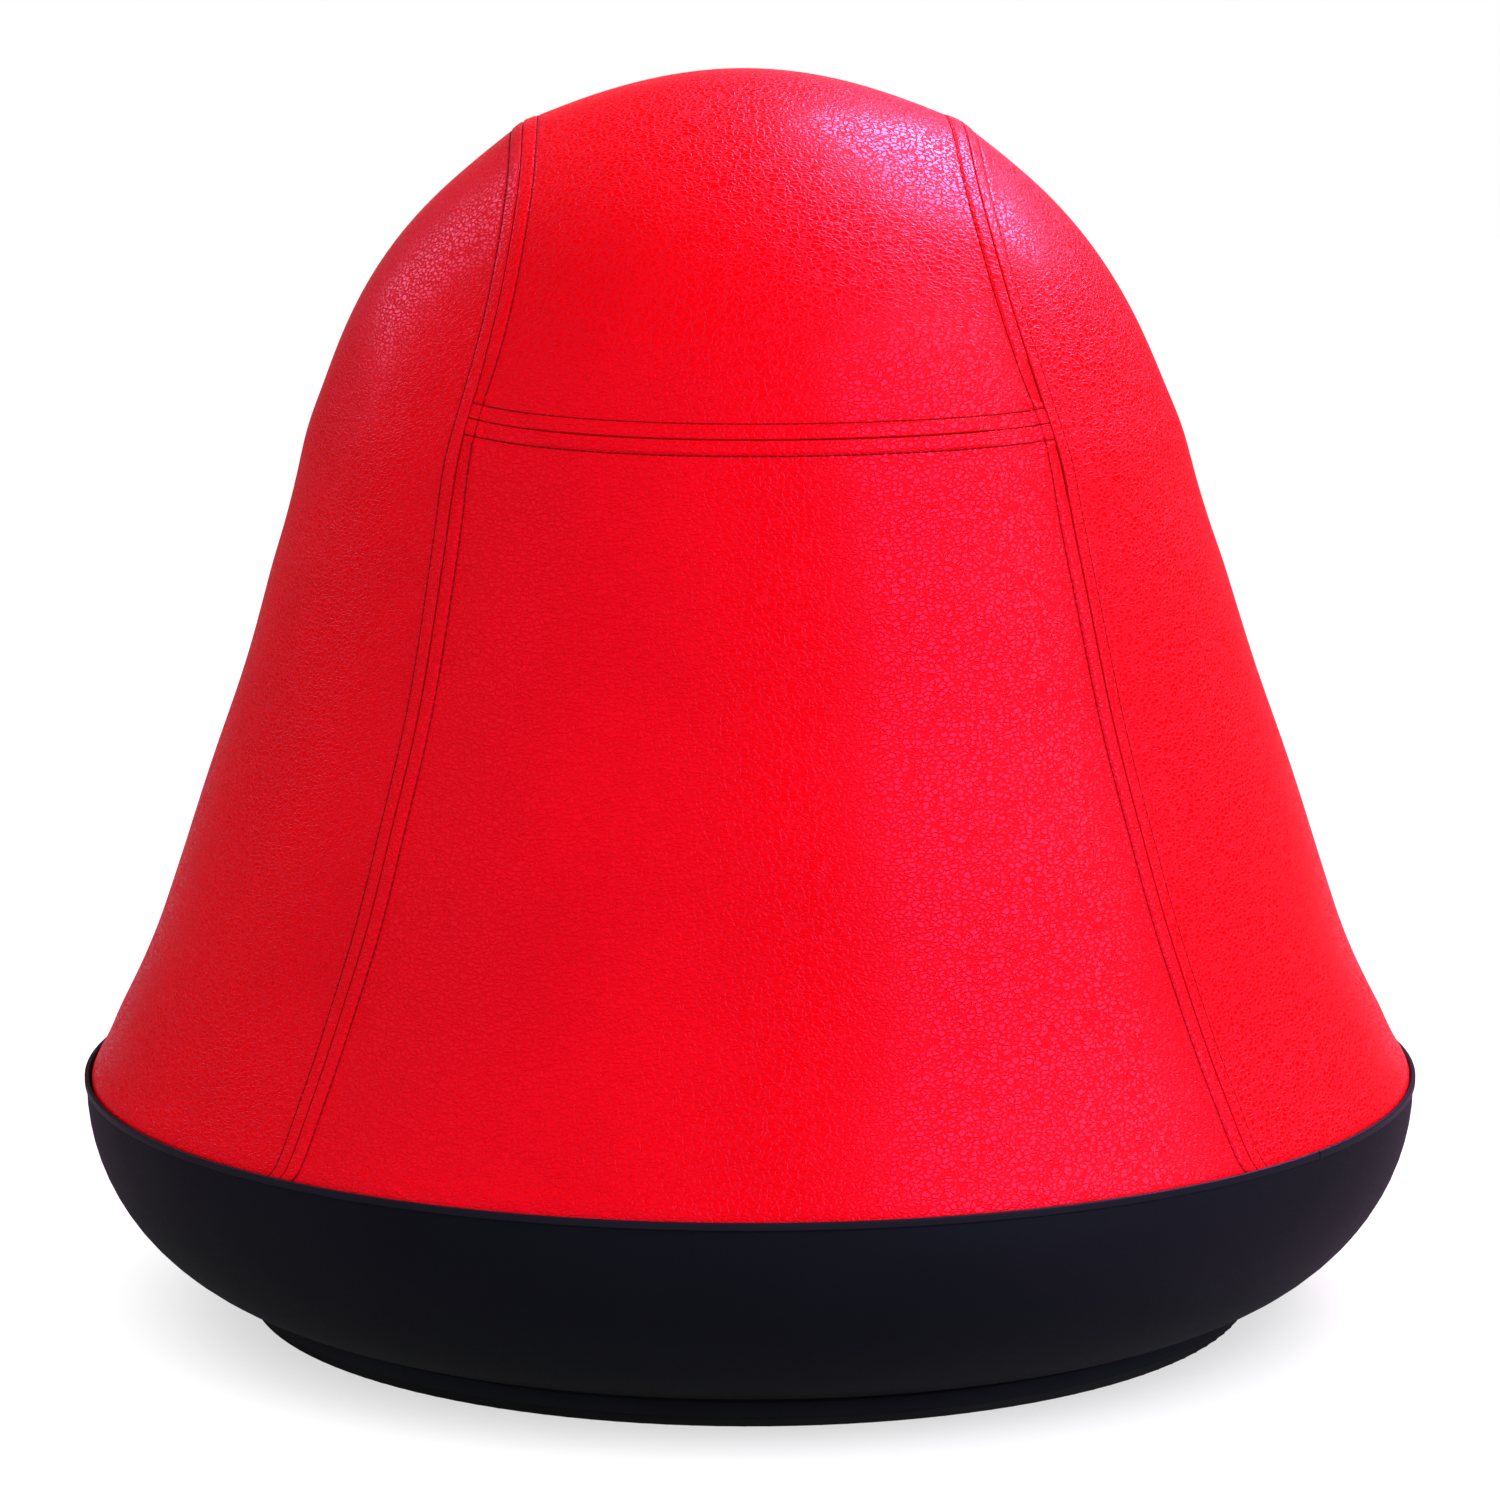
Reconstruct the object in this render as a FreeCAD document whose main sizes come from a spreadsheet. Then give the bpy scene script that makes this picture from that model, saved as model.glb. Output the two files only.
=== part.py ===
"""Swivel stool: a sewn bell cover over an air-filled ball, in a bowl that turns on a ball bearing above its foot.

Millimetres, +Z up, origin at the middle of the floor under the foot. The front of the cover faces -Y.
"""
import FreeCAD
import Part
import Sketcher
import math
import os
import re

Vector = FreeCAD.Vector

# Driving dimensions: name, value in millimetres, degrees or a count, and what it measures.
SIZES = [
    ("seat_height", 508.0, "floor to the top of the crown"),
    ("dome_radius", 180.0, "round top of the cover, outside"),
    ("flare_radius", 250.0, "hollow flare above the bowl"),
    ("hem_roll_radius", 12.0, "roll where the cover tucks into the bowl"),
    ("hem_flare_angle", 33.94, "where the roll turns into the flare, above level"),
    ("hem_tuck_angle", 40.0, "inward slope of the tucked edge, from upright"),
    ("hem_depth", 9.0, "cover's cut edge below the bowl's edge"),
    ("hem_rise", 1.0, "widest point of the roll above the bowl's edge"),
    ("hem_clearance", 0.2, "cover to the bowl's edge"),
    ("cover_thickness", 2.5, "leatherette with its backing cloth"),
    ("lining_gap", 0.3, "glue line between leatherette and foam"),
    ("lining_thickness", 5.0, "foam behind the leatherette"),
    ("seam_half_width", 88.5, "long seam to the middle line at the crown"),
    ("seam_bend_drop", 8.0, "crown to where the long seam leaves upright, seen from the front"),
    ("seam_bend_radius", 262.0, "long seam's bend at the shoulder"),
    ("seam_angle", 12.8, "long seam's slope from upright, seen from the front"),
    ("seam_flare_rise", 118.0, "bowl's edge to where the long seam starts to flare"),
    ("seam_flare_radius", 473.0, "long seam's flare"),
    ("cross_seam_drop", 131.0, "crown to the cross seam"),
    ("ball_wall", 2.5, "wall of the exercise ball"),
    ("ball_gap", 0.1, "exercise ball to the lining and to the cradle"),
    ("ball_clear_height", 8.0, "pivot bolt's end to the bottom of the ball"),
    ("plug_stem_radius", 4.0, "stopper's stem"),
    ("plug_stem_length", 9.0, "stopper's stem"),
    ("plug_head_radius", 9.0, "stopper's head"),
    ("plug_head_thickness", 1.5, "stopper's head"),
    ("bowl_radius", 275.7, "bowl, outside"),
    ("bowl_edge_height", 96.0, "bowl's edge above the floor"),
    ("bowl_edge_land", 2.3, "upright land under the bowl's edge"),
    ("bowl_wall", 3.5, "bowl's side"),
    ("bowl_floor_thickness", 5.0, "bowl's floor"),
    ("bowl_edge_thickness", 1.2, "bowl's tapered edge"),
    ("bowl_taper_height", 14.0, "tapered stretch below the edge"),
    ("lip_overhang", 3.5, "bowl's lower lip outside the foot"),
    ("lip_gap", 1.2, "bowl's lower lip above the foot"),
    ("lip_width", 2.7, "flat of the lower lip"),
    ("kick_run", 6.8, "slope from the lower lip up to the floor, across"),
    ("kick_wall_run", 1.5, "inside of that slope, further out than its outside"),
    ("moat_offset", 0.5, "bottom of the ring-shaped hollow, outside the lip"),
    ("ledge_reach", 12.7, "ledge that the hem strip hooks under, inwards from the bowl's outside"),
    ("ledge_thickness", 3.0, "ledge"),
    ("rib_count", 12, "ribs inside the bowl's round"),
    ("rib_thickness", 3.0, "rib"),
    ("rib_low_share", 0.938, "rib's lower end, as a share of the round down to the lip"),
    ("rib_high_share", 0.326, "rib's upper end, as a share of the round down to the lip"),
    ("trim_height", 2.0, "edging strip above the bowl's edge"),
    ("trim_lip_depth", 1.0, "edging strip's lip down the outside"),
    ("trim_lip_thickness", 1.25, "edging strip's lip"),
    ("trim_fit", 0.05, "edging strip to the bowl"),
    ("trim_setback", 0.3, "edging strip's inner side outside the bowl's edge"),
    ("trim_joint_gap", 0.5, "butt joint of the edging strip"),
    ("trim_joint_angle", 321.0, "place of the butt joint, round from +X"),
    ("strip_flange_thickness", 3.0, "hem strip's sewn flange"),
    ("strip_leg_length", 5.0, "hem strip between its flange and the ledge's top"),
    ("strip_leg_thickness", 2.5, "hem strip's leg"),
    ("strip_hook_reach", 4.0, "hem strip's hook under the ledge"),
    ("strip_hook_thickness", 3.0, "hem strip's hook"),
    ("strip_fit", 0.1, "hem strip to the ledge"),
    ("cradle_inner_radius", 45.0, "ball cradle, opening over the pivot"),
    ("cradle_wall", 3.5, "ball cradle"),
    ("cradle_clearance", 5.0, "ball cradle's foot to the bowl's bosses"),
    ("cradle_flange_width", 14.5, "ball cradle's foot outside its wall"),
    ("cradle_rib_count", 8, "webs under the cradle's seat"),
    ("cradle_screw_inset", 7.0, "cradle screws inside the cradle's foot"),
    ("cradle_screw_count", 6, "cradle screws"),
    ("cradle_screw_length", 7.0, "cradle screws under the head"),
    ("floor_ring_setback", 1.0, "rubber ring inside the foot's outer wall"),
    ("floor_ring_width", 12.0, "rubber ring, inside to outside"),
    ("floor_ring_height", 4.0, "rubber ring, floor to the foot"),
    ("floor_ring_round", 1.0, "rubber ring's lower outer edge"),
    ("tongue_height", 2.0, "rubber ring's tongue in the foot"),
    ("tongue_inset", 3.0, "tongue inside the ring's sides"),
    ("tongue_fit", 0.1, "tongue to its channel"),
    ("foot_radius", 210.0, "foot, outside"),
    ("foot_wall", 4.0, "foot's outer wall"),
    ("foot_plate_thickness", 3.0, "foot's plate"),
    ("foot_wall_rise", 2.0, "foot's outer wall above its plate"),
    ("foot_edge_bevel", 1.0, "foot's upper outer edge"),
    ("foot_hub_radius", 18.0, "foot's hub"),
    ("foot_hub_drop", 3.5, "foot's hub below its plate"),
    ("foot_hub_rise", 5.0, "foot's hub above its plate"),
    ("foot_rib_count", 12, "ribs under the foot's plate"),
    ("foot_rib_thickness", 3.0, "foot's rib"),
    ("foot_rib_depth", 3.0, "foot's rib below its plate"),
    ("race_inner_margin", 16.0, "bearing races inside the circle of balls"),
    ("race_outer_margin", 24.0, "bearing races outside the circle of balls"),
    ("race_thickness", 2.5, "bearing races"),
    ("race_screw_inset", 8.0, "race screws inside the races' outer edge"),
    ("race_screw_count", 8, "screws of each race"),
    ("race_screw_length", 8.0, "race screws under the head"),
    ("bearing_circle", 132.0, "bearing balls from the axis"),
    ("bearing_ball_radius", 4.0, "bearing balls"),
    ("bearing_ball_count", 16, "bearing balls"),
    ("bearing_play", 0.15, "bearing ball to its groove and pocket"),
    ("groove_depth", 1.2, "bearing groove in a race"),
    ("cage_half_width", 9.0, "bearing cage either side of the balls"),
    ("cage_thickness", 2.5, "bearing cage"),
    ("screw_radius", 2.0, "screw shanks"),
    ("screw_head_radius", 4.0, "screw heads"),
    ("screw_head_height", 2.2, "screw heads"),
    ("screw_fit", 0.05, "screw to its hole"),
    ("boss_radius", 5.0, "screw bosses"),
    ("boss_height", 4.5, "bosses on the bowl's floor"),
    ("foot_boss_height", 3.2, "bosses under the foot's plate"),
    ("bolt_radius", 5.0, "pivot bolt's shank"),
    ("bolt_head_across", 17.0, "pivot bolt's head and nut, across flats"),
    ("bolt_head_height", 6.4, "pivot bolt's head"),
    ("bolt_end_length", 1.9, "pivot bolt above its nut"),
    ("bolt_fit", 0.05, "pivot bolt to bush, hub, washer and nut"),
    ("nut_height", 8.0, "pivot nut"),
    ("pocket_fit", 0.1, "bolt head to its pocket, each side"),
    ("hub_web", 3.5, "foot's hub above the bolt's head"),
    ("hub_gap", 1.0, "bowl's hub above the foot's hub"),
    ("bowl_hub_radius", 14.0, "bowl's hub"),
    ("bowl_hub_rise", 2.1, "bowl's hub above its floor"),
    ("bush_wall", 2.5, "pivot bush"),
    ("bush_flange_radius", 12.0, "pivot bush's flange"),
    ("bush_flange_thickness", 1.5, "pivot bush's flange"),
    ("washer_radius", 12.0, "thrust washer"),
    ("washer_thickness", 1.5, "thrust washer"),
    ("washer_gap", 0.1, "thrust washer above the bush"),
]

# Places that follow from the sizes, written as formulas of them.
PLACES = {
    # Stack from the floor up through the bearing to the bowl's floor.
    "foot_plate_bottom": "floor_ring_height + tongue_height",
    "foot_plate_top": "foot_plate_bottom + foot_plate_thickness",
    "foot_wall_top": "foot_plate_top + foot_wall_rise",
    "foot_hub_bottom": "foot_plate_bottom - foot_hub_drop",
    "foot_hub_top": "foot_plate_top + foot_hub_rise",
    "lower_race_top": "foot_plate_top + race_thickness",
    "bearing_height": "lower_race_top - groove_depth + bearing_play + bearing_ball_radius",
    "upper_race_bottom": "2 * bearing_height - lower_race_top",
    "groove_radius": "bearing_ball_radius + bearing_play",
    "groove_half_width": "sqrt(groove_radius ^ 2 - (bearing_height - lower_race_top) ^ 2)",
    "floor_bottom": "upper_race_bottom + race_thickness",
    "floor_top": "floor_bottom + bowl_floor_thickness",
    "floor_ring_radius": "foot_radius - floor_ring_setback",
    "floor_ring_inner_radius": "floor_ring_radius - floor_ring_width",
    "race_inner_radius": "bearing_circle - race_inner_margin",
    "race_outer_radius": "bearing_circle + race_outer_margin",
    "race_screw_circle": "race_outer_radius - race_screw_inset",
    # Pivot, from the bolt's head up to its end.
    "head_top": "foot_hub_top - hub_web",
    "head_bottom": "head_top - bolt_head_height",
    "bowl_hub_bottom": "foot_hub_top + hub_gap",
    "bowl_hub_top": "floor_top + bowl_hub_rise",
    "bush_radius": "bolt_radius + bolt_fit + bush_wall",
    "bush_top": "bowl_hub_top + bush_flange_thickness",
    "washer_bottom": "bush_top + washer_gap",
    "nut_bottom": "washer_bottom + washer_thickness",
    "nut_top": "nut_bottom + nut_height",
    "bolt_top": "nut_top + bolt_end_length",
    # Bowl: one round, upright under the edge and ending at the lower lip.
    "bowl_curve_height": "bowl_edge_height - bowl_edge_land",
    "lip_radius": "foot_radius + lip_overhang",
    "lip_height": "foot_wall_top + lip_gap",
    "side_run": "bowl_radius - lip_radius",
    "bowl_curve_radius": "(side_run ^ 2 + (bowl_curve_height - lip_height) ^ 2) / (2 * side_run)",
    "round_ring": "bowl_radius - bowl_curve_radius",
    "inner_round": "bowl_curve_radius - bowl_wall",
    "lip_inner_radius": "lip_radius - lip_width",
    "kick_radius": "lip_inner_radius - kick_run",
    "moat_inner_radius": "kick_radius + kick_wall_run",
    "moat_radius": "lip_radius + moat_offset",
    "moat_height": "bowl_curve_height - sqrt(inner_round ^ 2 - (moat_radius - round_ring) ^ 2)",
    "taper_foot": "bowl_edge_height - bowl_taper_height",
    "taper_radius": "round_ring + sqrt(inner_round ^ 2 - (bowl_curve_height - taper_foot) ^ 2)",
    "edge_inner_radius": "bowl_radius - bowl_edge_thickness",
    "ledge_radius": "bowl_radius - ledge_reach",
    "ledge_top": "hem_end - strip_flange_thickness - strip_leg_length",
    "ledge_bottom": "ledge_top - ledge_thickness",
    "ledge_top_radius": "round_ring + sqrt(inner_round ^ 2 - (bowl_curve_height - ledge_top) ^ 2)",
    "ledge_bottom_radius": "round_ring + sqrt(inner_round ^ 2 - (bowl_curve_height - ledge_bottom) ^ 2)",
    "rib_round": "bowl_curve_radius - bowl_wall / 2",
    "lip_angle": "asin((bowl_curve_height - lip_height) / bowl_curve_radius)",
    "rib_low_angle": "rib_low_share * lip_angle",
    "rib_high_angle": "rib_high_share * lip_angle",
    # Cradle, between the bowl's bosses and the pivot.
    "cradle_flange_radius": "race_screw_circle - boss_radius - cradle_clearance",
    "cradle_screw_circle": "cradle_flange_radius - cradle_screw_inset",
    "cradle_outer_radius": "cradle_flange_radius - cradle_flange_width - cradle_wall",
    # Cover: dome, straight side, hollow flare and hem roll, each tangent to the next.
    "hem_radius": "edge_inner_radius - hem_clearance",
    "hem_height": "bowl_edge_height + hem_rise",
    "hem_end": "bowl_edge_height - hem_depth",
    "dome_height": "seat_height - dome_radius",
    "roll_ring": "hem_radius - hem_roll_radius",
    "flare_ring": "roll_ring + (flare_radius + hem_roll_radius) * cos(hem_flare_angle)",
    "flare_height": "hem_height + (flare_radius + hem_roll_radius) * sin(hem_flare_angle)",
    "flare_drop": "dome_height - flare_height",
    "flare_span": "sqrt(flare_ring ^ 2 + flare_drop ^ 2)",
    "cone_angle": "acos((dome_radius + flare_radius) / flare_span) - atan(flare_drop / flare_ring)",
    "lining_face": "cover_thickness + lining_gap",
    "lining_inset": "lining_face + lining_thickness",
    # Exercise ball: two round ends joined by the cover's straight side.
    "ball_top_radius": "dome_radius - lining_inset - ball_gap",
    "ball_bottom": "bolt_top + ball_clear_height",
    "belly_radius": "(ball_top_radius + (dome_height - ball_bottom) * sin(cone_angle)) / (1 + sin(cone_angle))",
    "belly_height": "ball_bottom + belly_radius",
    "seat_round": "belly_radius + ball_gap",
    "seat_back_round": "seat_round + cradle_wall",
    # Seams, seen from the front.
    "seam_bend_height": "seat_height - seam_bend_drop",
    "seam_flare_height": "bowl_edge_height + seam_flare_rise",
    "cross_seam_height": "seat_height - cross_seam_drop",
    "seam_bend_end": "seam_half_width + seam_bend_radius * (1 - cos(seam_angle))",
    "seam_bend_low": "seam_bend_height - seam_bend_radius * sin(seam_angle)",
    "seam_flare_start": "seam_bend_end + (seam_bend_low - seam_flare_height) * tan(seam_angle)",
    "seam_flare_ring": "seam_flare_start + seam_flare_radius * cos(seam_angle)",
    "seam_flare_centre": "seam_flare_height + seam_flare_radius * sin(seam_angle)",
    "seam_foot": "hem_end - cover_thickness",
    "seam_foot_half_width": "seam_flare_ring - sqrt(seam_flare_radius ^ 2 - (seam_flare_centre - seam_foot) ^ 2)",
}

doc = FreeCAD.newDocument("SwivelStool")
sheet = doc.addObject("Spreadsheet::Sheet", "sizes")
CELLS = {alias: str(value) for alias, value, meaning in SIZES}
CELLS.update((alias, "=" + formula) for alias, formula in PLACES.items())
for row, alias in enumerate(CELLS, start=1):
    sheet.setAlias(f"B{row}", alias)
for row, content in enumerate(CELLS.values(), start=1):
    sheet.set(f"B{row}", content)
for row, (alias, value, meaning) in enumerate(SIZES, start=1):
    sheet.set(f"A{row}", meaning)
doc.recompute()


def tie(formula):
    """A formula of sizes and places, written as an expression on the sheet's cells."""
    def name_cell(match):
        word = match.group()
        return "sizes." + word if word in CELLS else word
    return re.sub(r"[a-z][a-z_]*", name_cell, formula)


def size(formula):
    """The number that a formula of sizes and places gives now."""
    return float(sheet.evalExpression(tie(formula)))


def bind(thing, prop, formula):
    """Ties one property of an object to a formula of sizes and places."""
    thing.setExpression(prop, tie(formula))


def origin_feature(body, role):
    """The body's own origin plane or axis with that role."""
    return next(feature for feature in body.Origin.OriginFeatures if feature.Role == role)


def new_body(label):
    """An empty body named for its piece."""
    body = doc.addObject("PartDesign::Body", label)
    body.Label = label
    return body


def new_sketch(body, name, role, lift="0"):
    """A sketch on one of the body's origin planes, lifted along that plane's normal."""
    sketch = body.newObject("Sketcher::SketchObject", name)
    sketch.AttachmentSupport = [(origin_feature(body, role), "")]
    sketch.MapMode = "FlatFace"
    bind(sketch, "AttachmentOffset.Base.z", lift)
    return sketch


def place_point(sketch, edge, end, across, up):
    """Ties one end of a sketch edge to its place, across and up from the sketch's origin."""
    for kind, axis, formula in (("DistanceX", -2, across), ("DistanceY", -1, up)):
        value = size(formula)
        if formula == "0":
            sketch.addConstraint(Sketcher.Constraint("PointOnObject", edge, end, axis))
        elif value < 0:
            index = sketch.addConstraint(Sketcher.Constraint(kind, edge, end, -1, 1, -value))
            bind(sketch, f"Constraints[{index}]", f"-({formula})")
        else:
            index = sketch.addConstraint(Sketcher.Constraint(kind, -1, 1, edge, end, value))
            bind(sketch, f"Constraints[{index}]", formula)


def arc_between(start, end, radius, turns_left):
    """The short arc of a radius from start to end, turning left or right on the way."""
    chord = end - start
    left = Vector(-chord.y, chord.x, 0).normalize()
    rise = math.sqrt(max(radius ** 2 - chord.Length ** 2 / 4, 0))
    centre = (start + end) / 2 + left * (rise if turns_left else -rise)
    first, last = (start, end) if turns_left else (end, start)
    angles = [math.atan2(point.y - centre.y, point.x - centre.x) for point in (first, last)]
    return Part.ArcOfCircle(Part.Circle(centre, Vector(0, 0, 1), radius), angles[0], angles[1])


def draw_outline(sketch, corners):
    """Draws a closed outline through corners given as (across, up) or (across, up, turn, radius).

    A corner with a turn of "left" or "right" starts an arc of that radius to the next corner.
    """
    points = [Vector(size(corner[0]), size(corner[1]), 0) for corner in corners]
    ends = []
    for index, corner in enumerate(corners):
        start = points[index]
        end = points[(index + 1) % len(points)]
        if len(corner) == 2:
            edge = sketch.addGeometry(Part.LineSegment(start, end), False)
            ends.append((edge, 1, 2))
            continue
        turns_left = corner[2] == "left"
        edge = sketch.addGeometry(arc_between(start, end, size(corner[3]), turns_left), False)
        ends.append((edge, 1, 2) if turns_left else (edge, 2, 1))
        radius = sketch.addConstraint(Sketcher.Constraint("Radius", edge, size(corner[3])))
        bind(sketch, f"Constraints[{radius}]", corner[3])
    for index, (edge, first, last) in enumerate(ends):
        following, start, finish = ends[(index + 1) % len(ends)]
        sketch.addConstraint(Sketcher.Constraint("Coincident", edge, last, following, start))
        place_point(sketch, edge, first, corners[index][0], corners[index][1])
    return sketch


def draw_circle(sketch, across, up, radius):
    """Draws one circle in a sketch."""
    centre = Vector(size(across), size(up), 0)
    edge = sketch.addGeometry(Part.Circle(centre, Vector(0, 0, 1), size(radius)), False)
    place_point(sketch, edge, 3, across, up)
    index = sketch.addConstraint(Sketcher.Constraint("Radius", edge, size(radius)))
    bind(sketch, f"Constraints[{index}]", radius)
    return sketch


def draw_hexagon(sketch, across_flats):
    """Draws a hexagon about the sketch's origin from its width across flats."""
    corners = []
    for step in range(6):
        turn = f"cos({60 * step + 30})", f"sin({60 * step + 30})"
        reach = f"({across_flats}) / sqrt(3)"
        corners.append((f"{reach} * {turn[0]}" if step not in (1, 4) else "0", f"{reach} * {turn[1]}"))
    return draw_outline(sketch, corners)


def turn_profile(body, name, corners):
    """Revolves an outline, given as radius and height, about the upright axis."""
    sketch = draw_outline(new_sketch(body, name + "_profile", "XZ_Plane"), corners)
    turned = body.newObject("PartDesign::Revolution", name)
    turned.Profile = sketch
    turned.ReferenceAxis = (sketch, ["V_Axis"])
    turned.Angle = 360
    return turned


def pad(body, name, sketch, length, both_ways=False):
    """Adds material from a sketch, along its normal or half to each side."""
    feature = body.newObject("PartDesign::Pad", name)
    feature.Profile = sketch
    feature.SideType = "Symmetric" if both_ways else "One side"
    bind(feature, "Length", length)
    return feature


def pocket(body, name, sketch, depth, upwards=False):
    """Cuts from a sketch against its normal, or along it when upwards."""
    feature = body.newObject("PartDesign::Pocket", name)
    feature.Profile = sketch
    feature.Reversed = upwards
    bind(feature, "Length", depth)
    return feature


def repeat_round(body, name, features, count):
    """Repeats features evenly about the upright axis."""
    pattern = body.newObject("PartDesign::PolarPattern", name)
    pattern.Originals = features
    pattern.Axis = (origin_feature(body, "Z_Axis"), [""])
    pattern.Angle = 360
    bind(pattern, "Occurrences", count)
    body.Tip = pattern
    return pattern


def hole_ring(body, name, circle, radius, foot, depth, count):
    """Cuts a ring of round holes upwards from a height."""
    sketch = draw_circle(new_sketch(body, name + "_circle", "XY_Plane", foot), circle, "0", radius)
    hole = pocket(body, name, sketch, depth, upwards=True)
    return repeat_round(body, name + "_ring", [hole], count)


def back_along(corners):
    """The same stretch of outline, walked the other way."""
    walked = []
    for index in range(len(corners) - 1, -1, -1):
        corner = corners[index][:2]
        if index > 0 and len(corners[index - 1]) == 4:
            turn, radius = corners[index - 1][2:]
            corner += ("left" if turn == "right" else "right", radius)
        walked.append(corner)
    return walked


def bell_line(inset):
    """Cover's line from the crown down to its cut edge, moved inwards by an inset."""
    dome = f"(dome_radius - ({inset}))"
    flare = f"(flare_radius + {inset})"
    roll = f"(hem_roll_radius - ({inset}))"
    tuck_radius = f"(roll_ring + {roll} * cos(hem_tuck_angle))"
    tuck_height = f"(hem_height - {roll} * sin(hem_tuck_angle))"
    return [
        ("0", f"dome_height + {dome}", "right", dome),
        (f"{dome} * cos(cone_angle)", f"dome_height + {dome} * sin(cone_angle)"),
        (f"flare_ring - {flare} * cos(cone_angle)", f"flare_height - {flare} * sin(cone_angle)", "left", flare),
        (f"roll_ring + {roll} * cos(hem_flare_angle)", f"hem_height + {roll} * sin(hem_flare_angle)",
         "right", roll),
        (tuck_radius, tuck_height),
        (hem_end_radius(inset), "hem_end"),
    ]


def hem_end_radius(inset):
    """Radius at which the cover's line, moved inwards by an inset, reaches the cut edge."""
    roll = f"(hem_roll_radius - ({inset}))"
    drop = f"(hem_height - {roll} * sin(hem_tuck_angle) - hem_end)"
    return f"roll_ring + {roll} * cos(hem_tuck_angle) - {drop} * tan(hem_tuck_angle)"


def pear_line(inset):
    """Exercise ball's line from its top to its bottom, moved inwards by an inset."""
    top = f"(ball_top_radius - {inset})"
    belly = f"(belly_radius - {inset})"
    return [
        ("0", f"dome_height + {top}", "right", top),
        (f"{top} * cos(cone_angle)", f"dome_height + {top} * sin(cone_angle)"),
        (f"{belly} * cos(cone_angle)", f"belly_height + {belly} * sin(cone_angle)", "right", belly),
        ("0", f"belly_height - {belly}"),
    ]


def make_cover():
    """Five sewn panels, cut from one bell along the long seams and the cross seam."""
    shell = new_body("cover_shell")
    turn_profile(shell, "cover_bell", bell_line("0") + back_along(bell_line("cover_thickness")))
    side = new_body("right_of_seam")
    beyond = "bowl_radius + cover_thickness"
    above = "seat_height + cover_thickness"
    outline = [
        ("seam_half_width", above),
        ("seam_half_width", "seam_bend_height", "left", "seam_bend_radius"),
        ("seam_bend_end", "seam_bend_low"),
        ("seam_flare_start", "seam_flare_height", "left", "seam_flare_radius"),
        ("seam_foot_half_width", "seam_foot"),
        (beyond, "seam_foot"),
        (beyond, above),
    ]
    sketch = draw_outline(new_sketch(side, "long_seam", "XZ_Plane"), outline)
    pad(side, "side_block", sketch, f"2 * ({beyond})", both_ways=True)
    other_side = doc.addObject("Part::Mirroring", "left_of_seam")
    other_side.Source = side
    other_side.Normal = Vector(1, 0, 0)
    strip = doc.addObject("Part::Cut", "centre_strip_right")
    strip.Base = shell
    strip.Tool = side
    centre = doc.addObject("Part::Cut", "centre_strip")
    centre.Base = strip
    centre.Tool = other_side
    blocks = {
        "top_panel": ("cross_seam_height", above, f"-({beyond})", f"2 * ({beyond})"),
        "front_panel": ("0", "cross_seam_height", f"-({beyond})", beyond),
        "back_panel": ("0", "cross_seam_height", "0", beyond),
    }
    panels = []
    for label, (low, high, near, depth) in blocks.items():
        block = doc.addObject("Part::Box", label + "_block")
        bind(block, "Length", f"2 * ({beyond})")
        bind(block, "Width", depth)
        bind(block, "Height", f"{high} - {low}")
        bind(block, "Placement.Base.x", f"-({beyond})")
        bind(block, "Placement.Base.y", near)
        bind(block, "Placement.Base.z", low)
        panels.append(common_piece(label, centre, block))
    panels.append(common_piece("right_panel", shell, side))
    panels.append(common_piece("left_panel", shell, other_side))
    return panels


def common_piece(label, base, tool):
    """The piece that two shapes share."""
    piece = doc.addObject("Part::Common", label)
    piece.Label = label
    piece.Base = base
    piece.Tool = tool
    return piece


def make_lining():
    """Foam bell behind the cover."""
    body = new_body("lining_foam")
    turn_profile(body, "lining_bell", bell_line("lining_face") + back_along(bell_line("lining_inset")))
    return body


def make_hem_strip():
    """Hooked strip sewn to the cut edge of cover and lining, caught under the bowl's ledge."""
    body = new_body("hem_strip")
    leg_out = "ledge_radius - strip_fit"
    leg_in = f"{leg_out} - strip_leg_thickness"
    flange_bottom = "hem_end - strip_flange_thickness"
    hook_bottom = "ledge_bottom - strip_hook_thickness"
    turn_profile(body, "hem_hook", [
        (hem_end_radius("lining_inset"), "hem_end"),
        (hem_end_radius("lining_inset"), flange_bottom),
        (leg_in, flange_bottom),
        (leg_in, hook_bottom),
        (f"{leg_out} + strip_hook_reach", hook_bottom),
        (f"{leg_out} + strip_hook_reach", "ledge_bottom"),
        (leg_out, "ledge_bottom"),
        (leg_out, flange_bottom),
        (hem_end_radius("0"), flange_bottom),
        (hem_end_radius("0"), "hem_end"),
    ])
    return body


def make_ball():
    """Air-filled ball with the stopper's hole at the bottom, where the sitter doesn't feel it."""
    body = new_body("exercise_ball")
    turn_profile(body, "ball_skin", pear_line("0") + back_along(pear_line("ball_wall")))
    sketch = new_sketch(body, "stopper_circle", "XY_Plane", "ball_bottom - ball_wall")
    draw_circle(sketch, "0", "0", "plug_stem_radius")
    pocket(body, "stopper_hole", sketch, "3 * ball_wall", upwards=True)
    return body


def make_plug():
    """Stopper pushed into the ball from below, its head against the skin."""
    body = new_body("ball_plug")
    head = "ball_bottom - plug_head_thickness"
    stem = "(plug_stem_radius - screw_fit)"
    turn_profile(body, "stopper", [
        ("0", head),
        ("plug_head_radius", head),
        ("plug_head_radius", "ball_bottom"),
        (stem, "ball_bottom"),
        (f"{stem} / 2", "ball_bottom + plug_stem_length"),
        ("0", "ball_bottom + plug_stem_length"),
    ])
    return body


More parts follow.
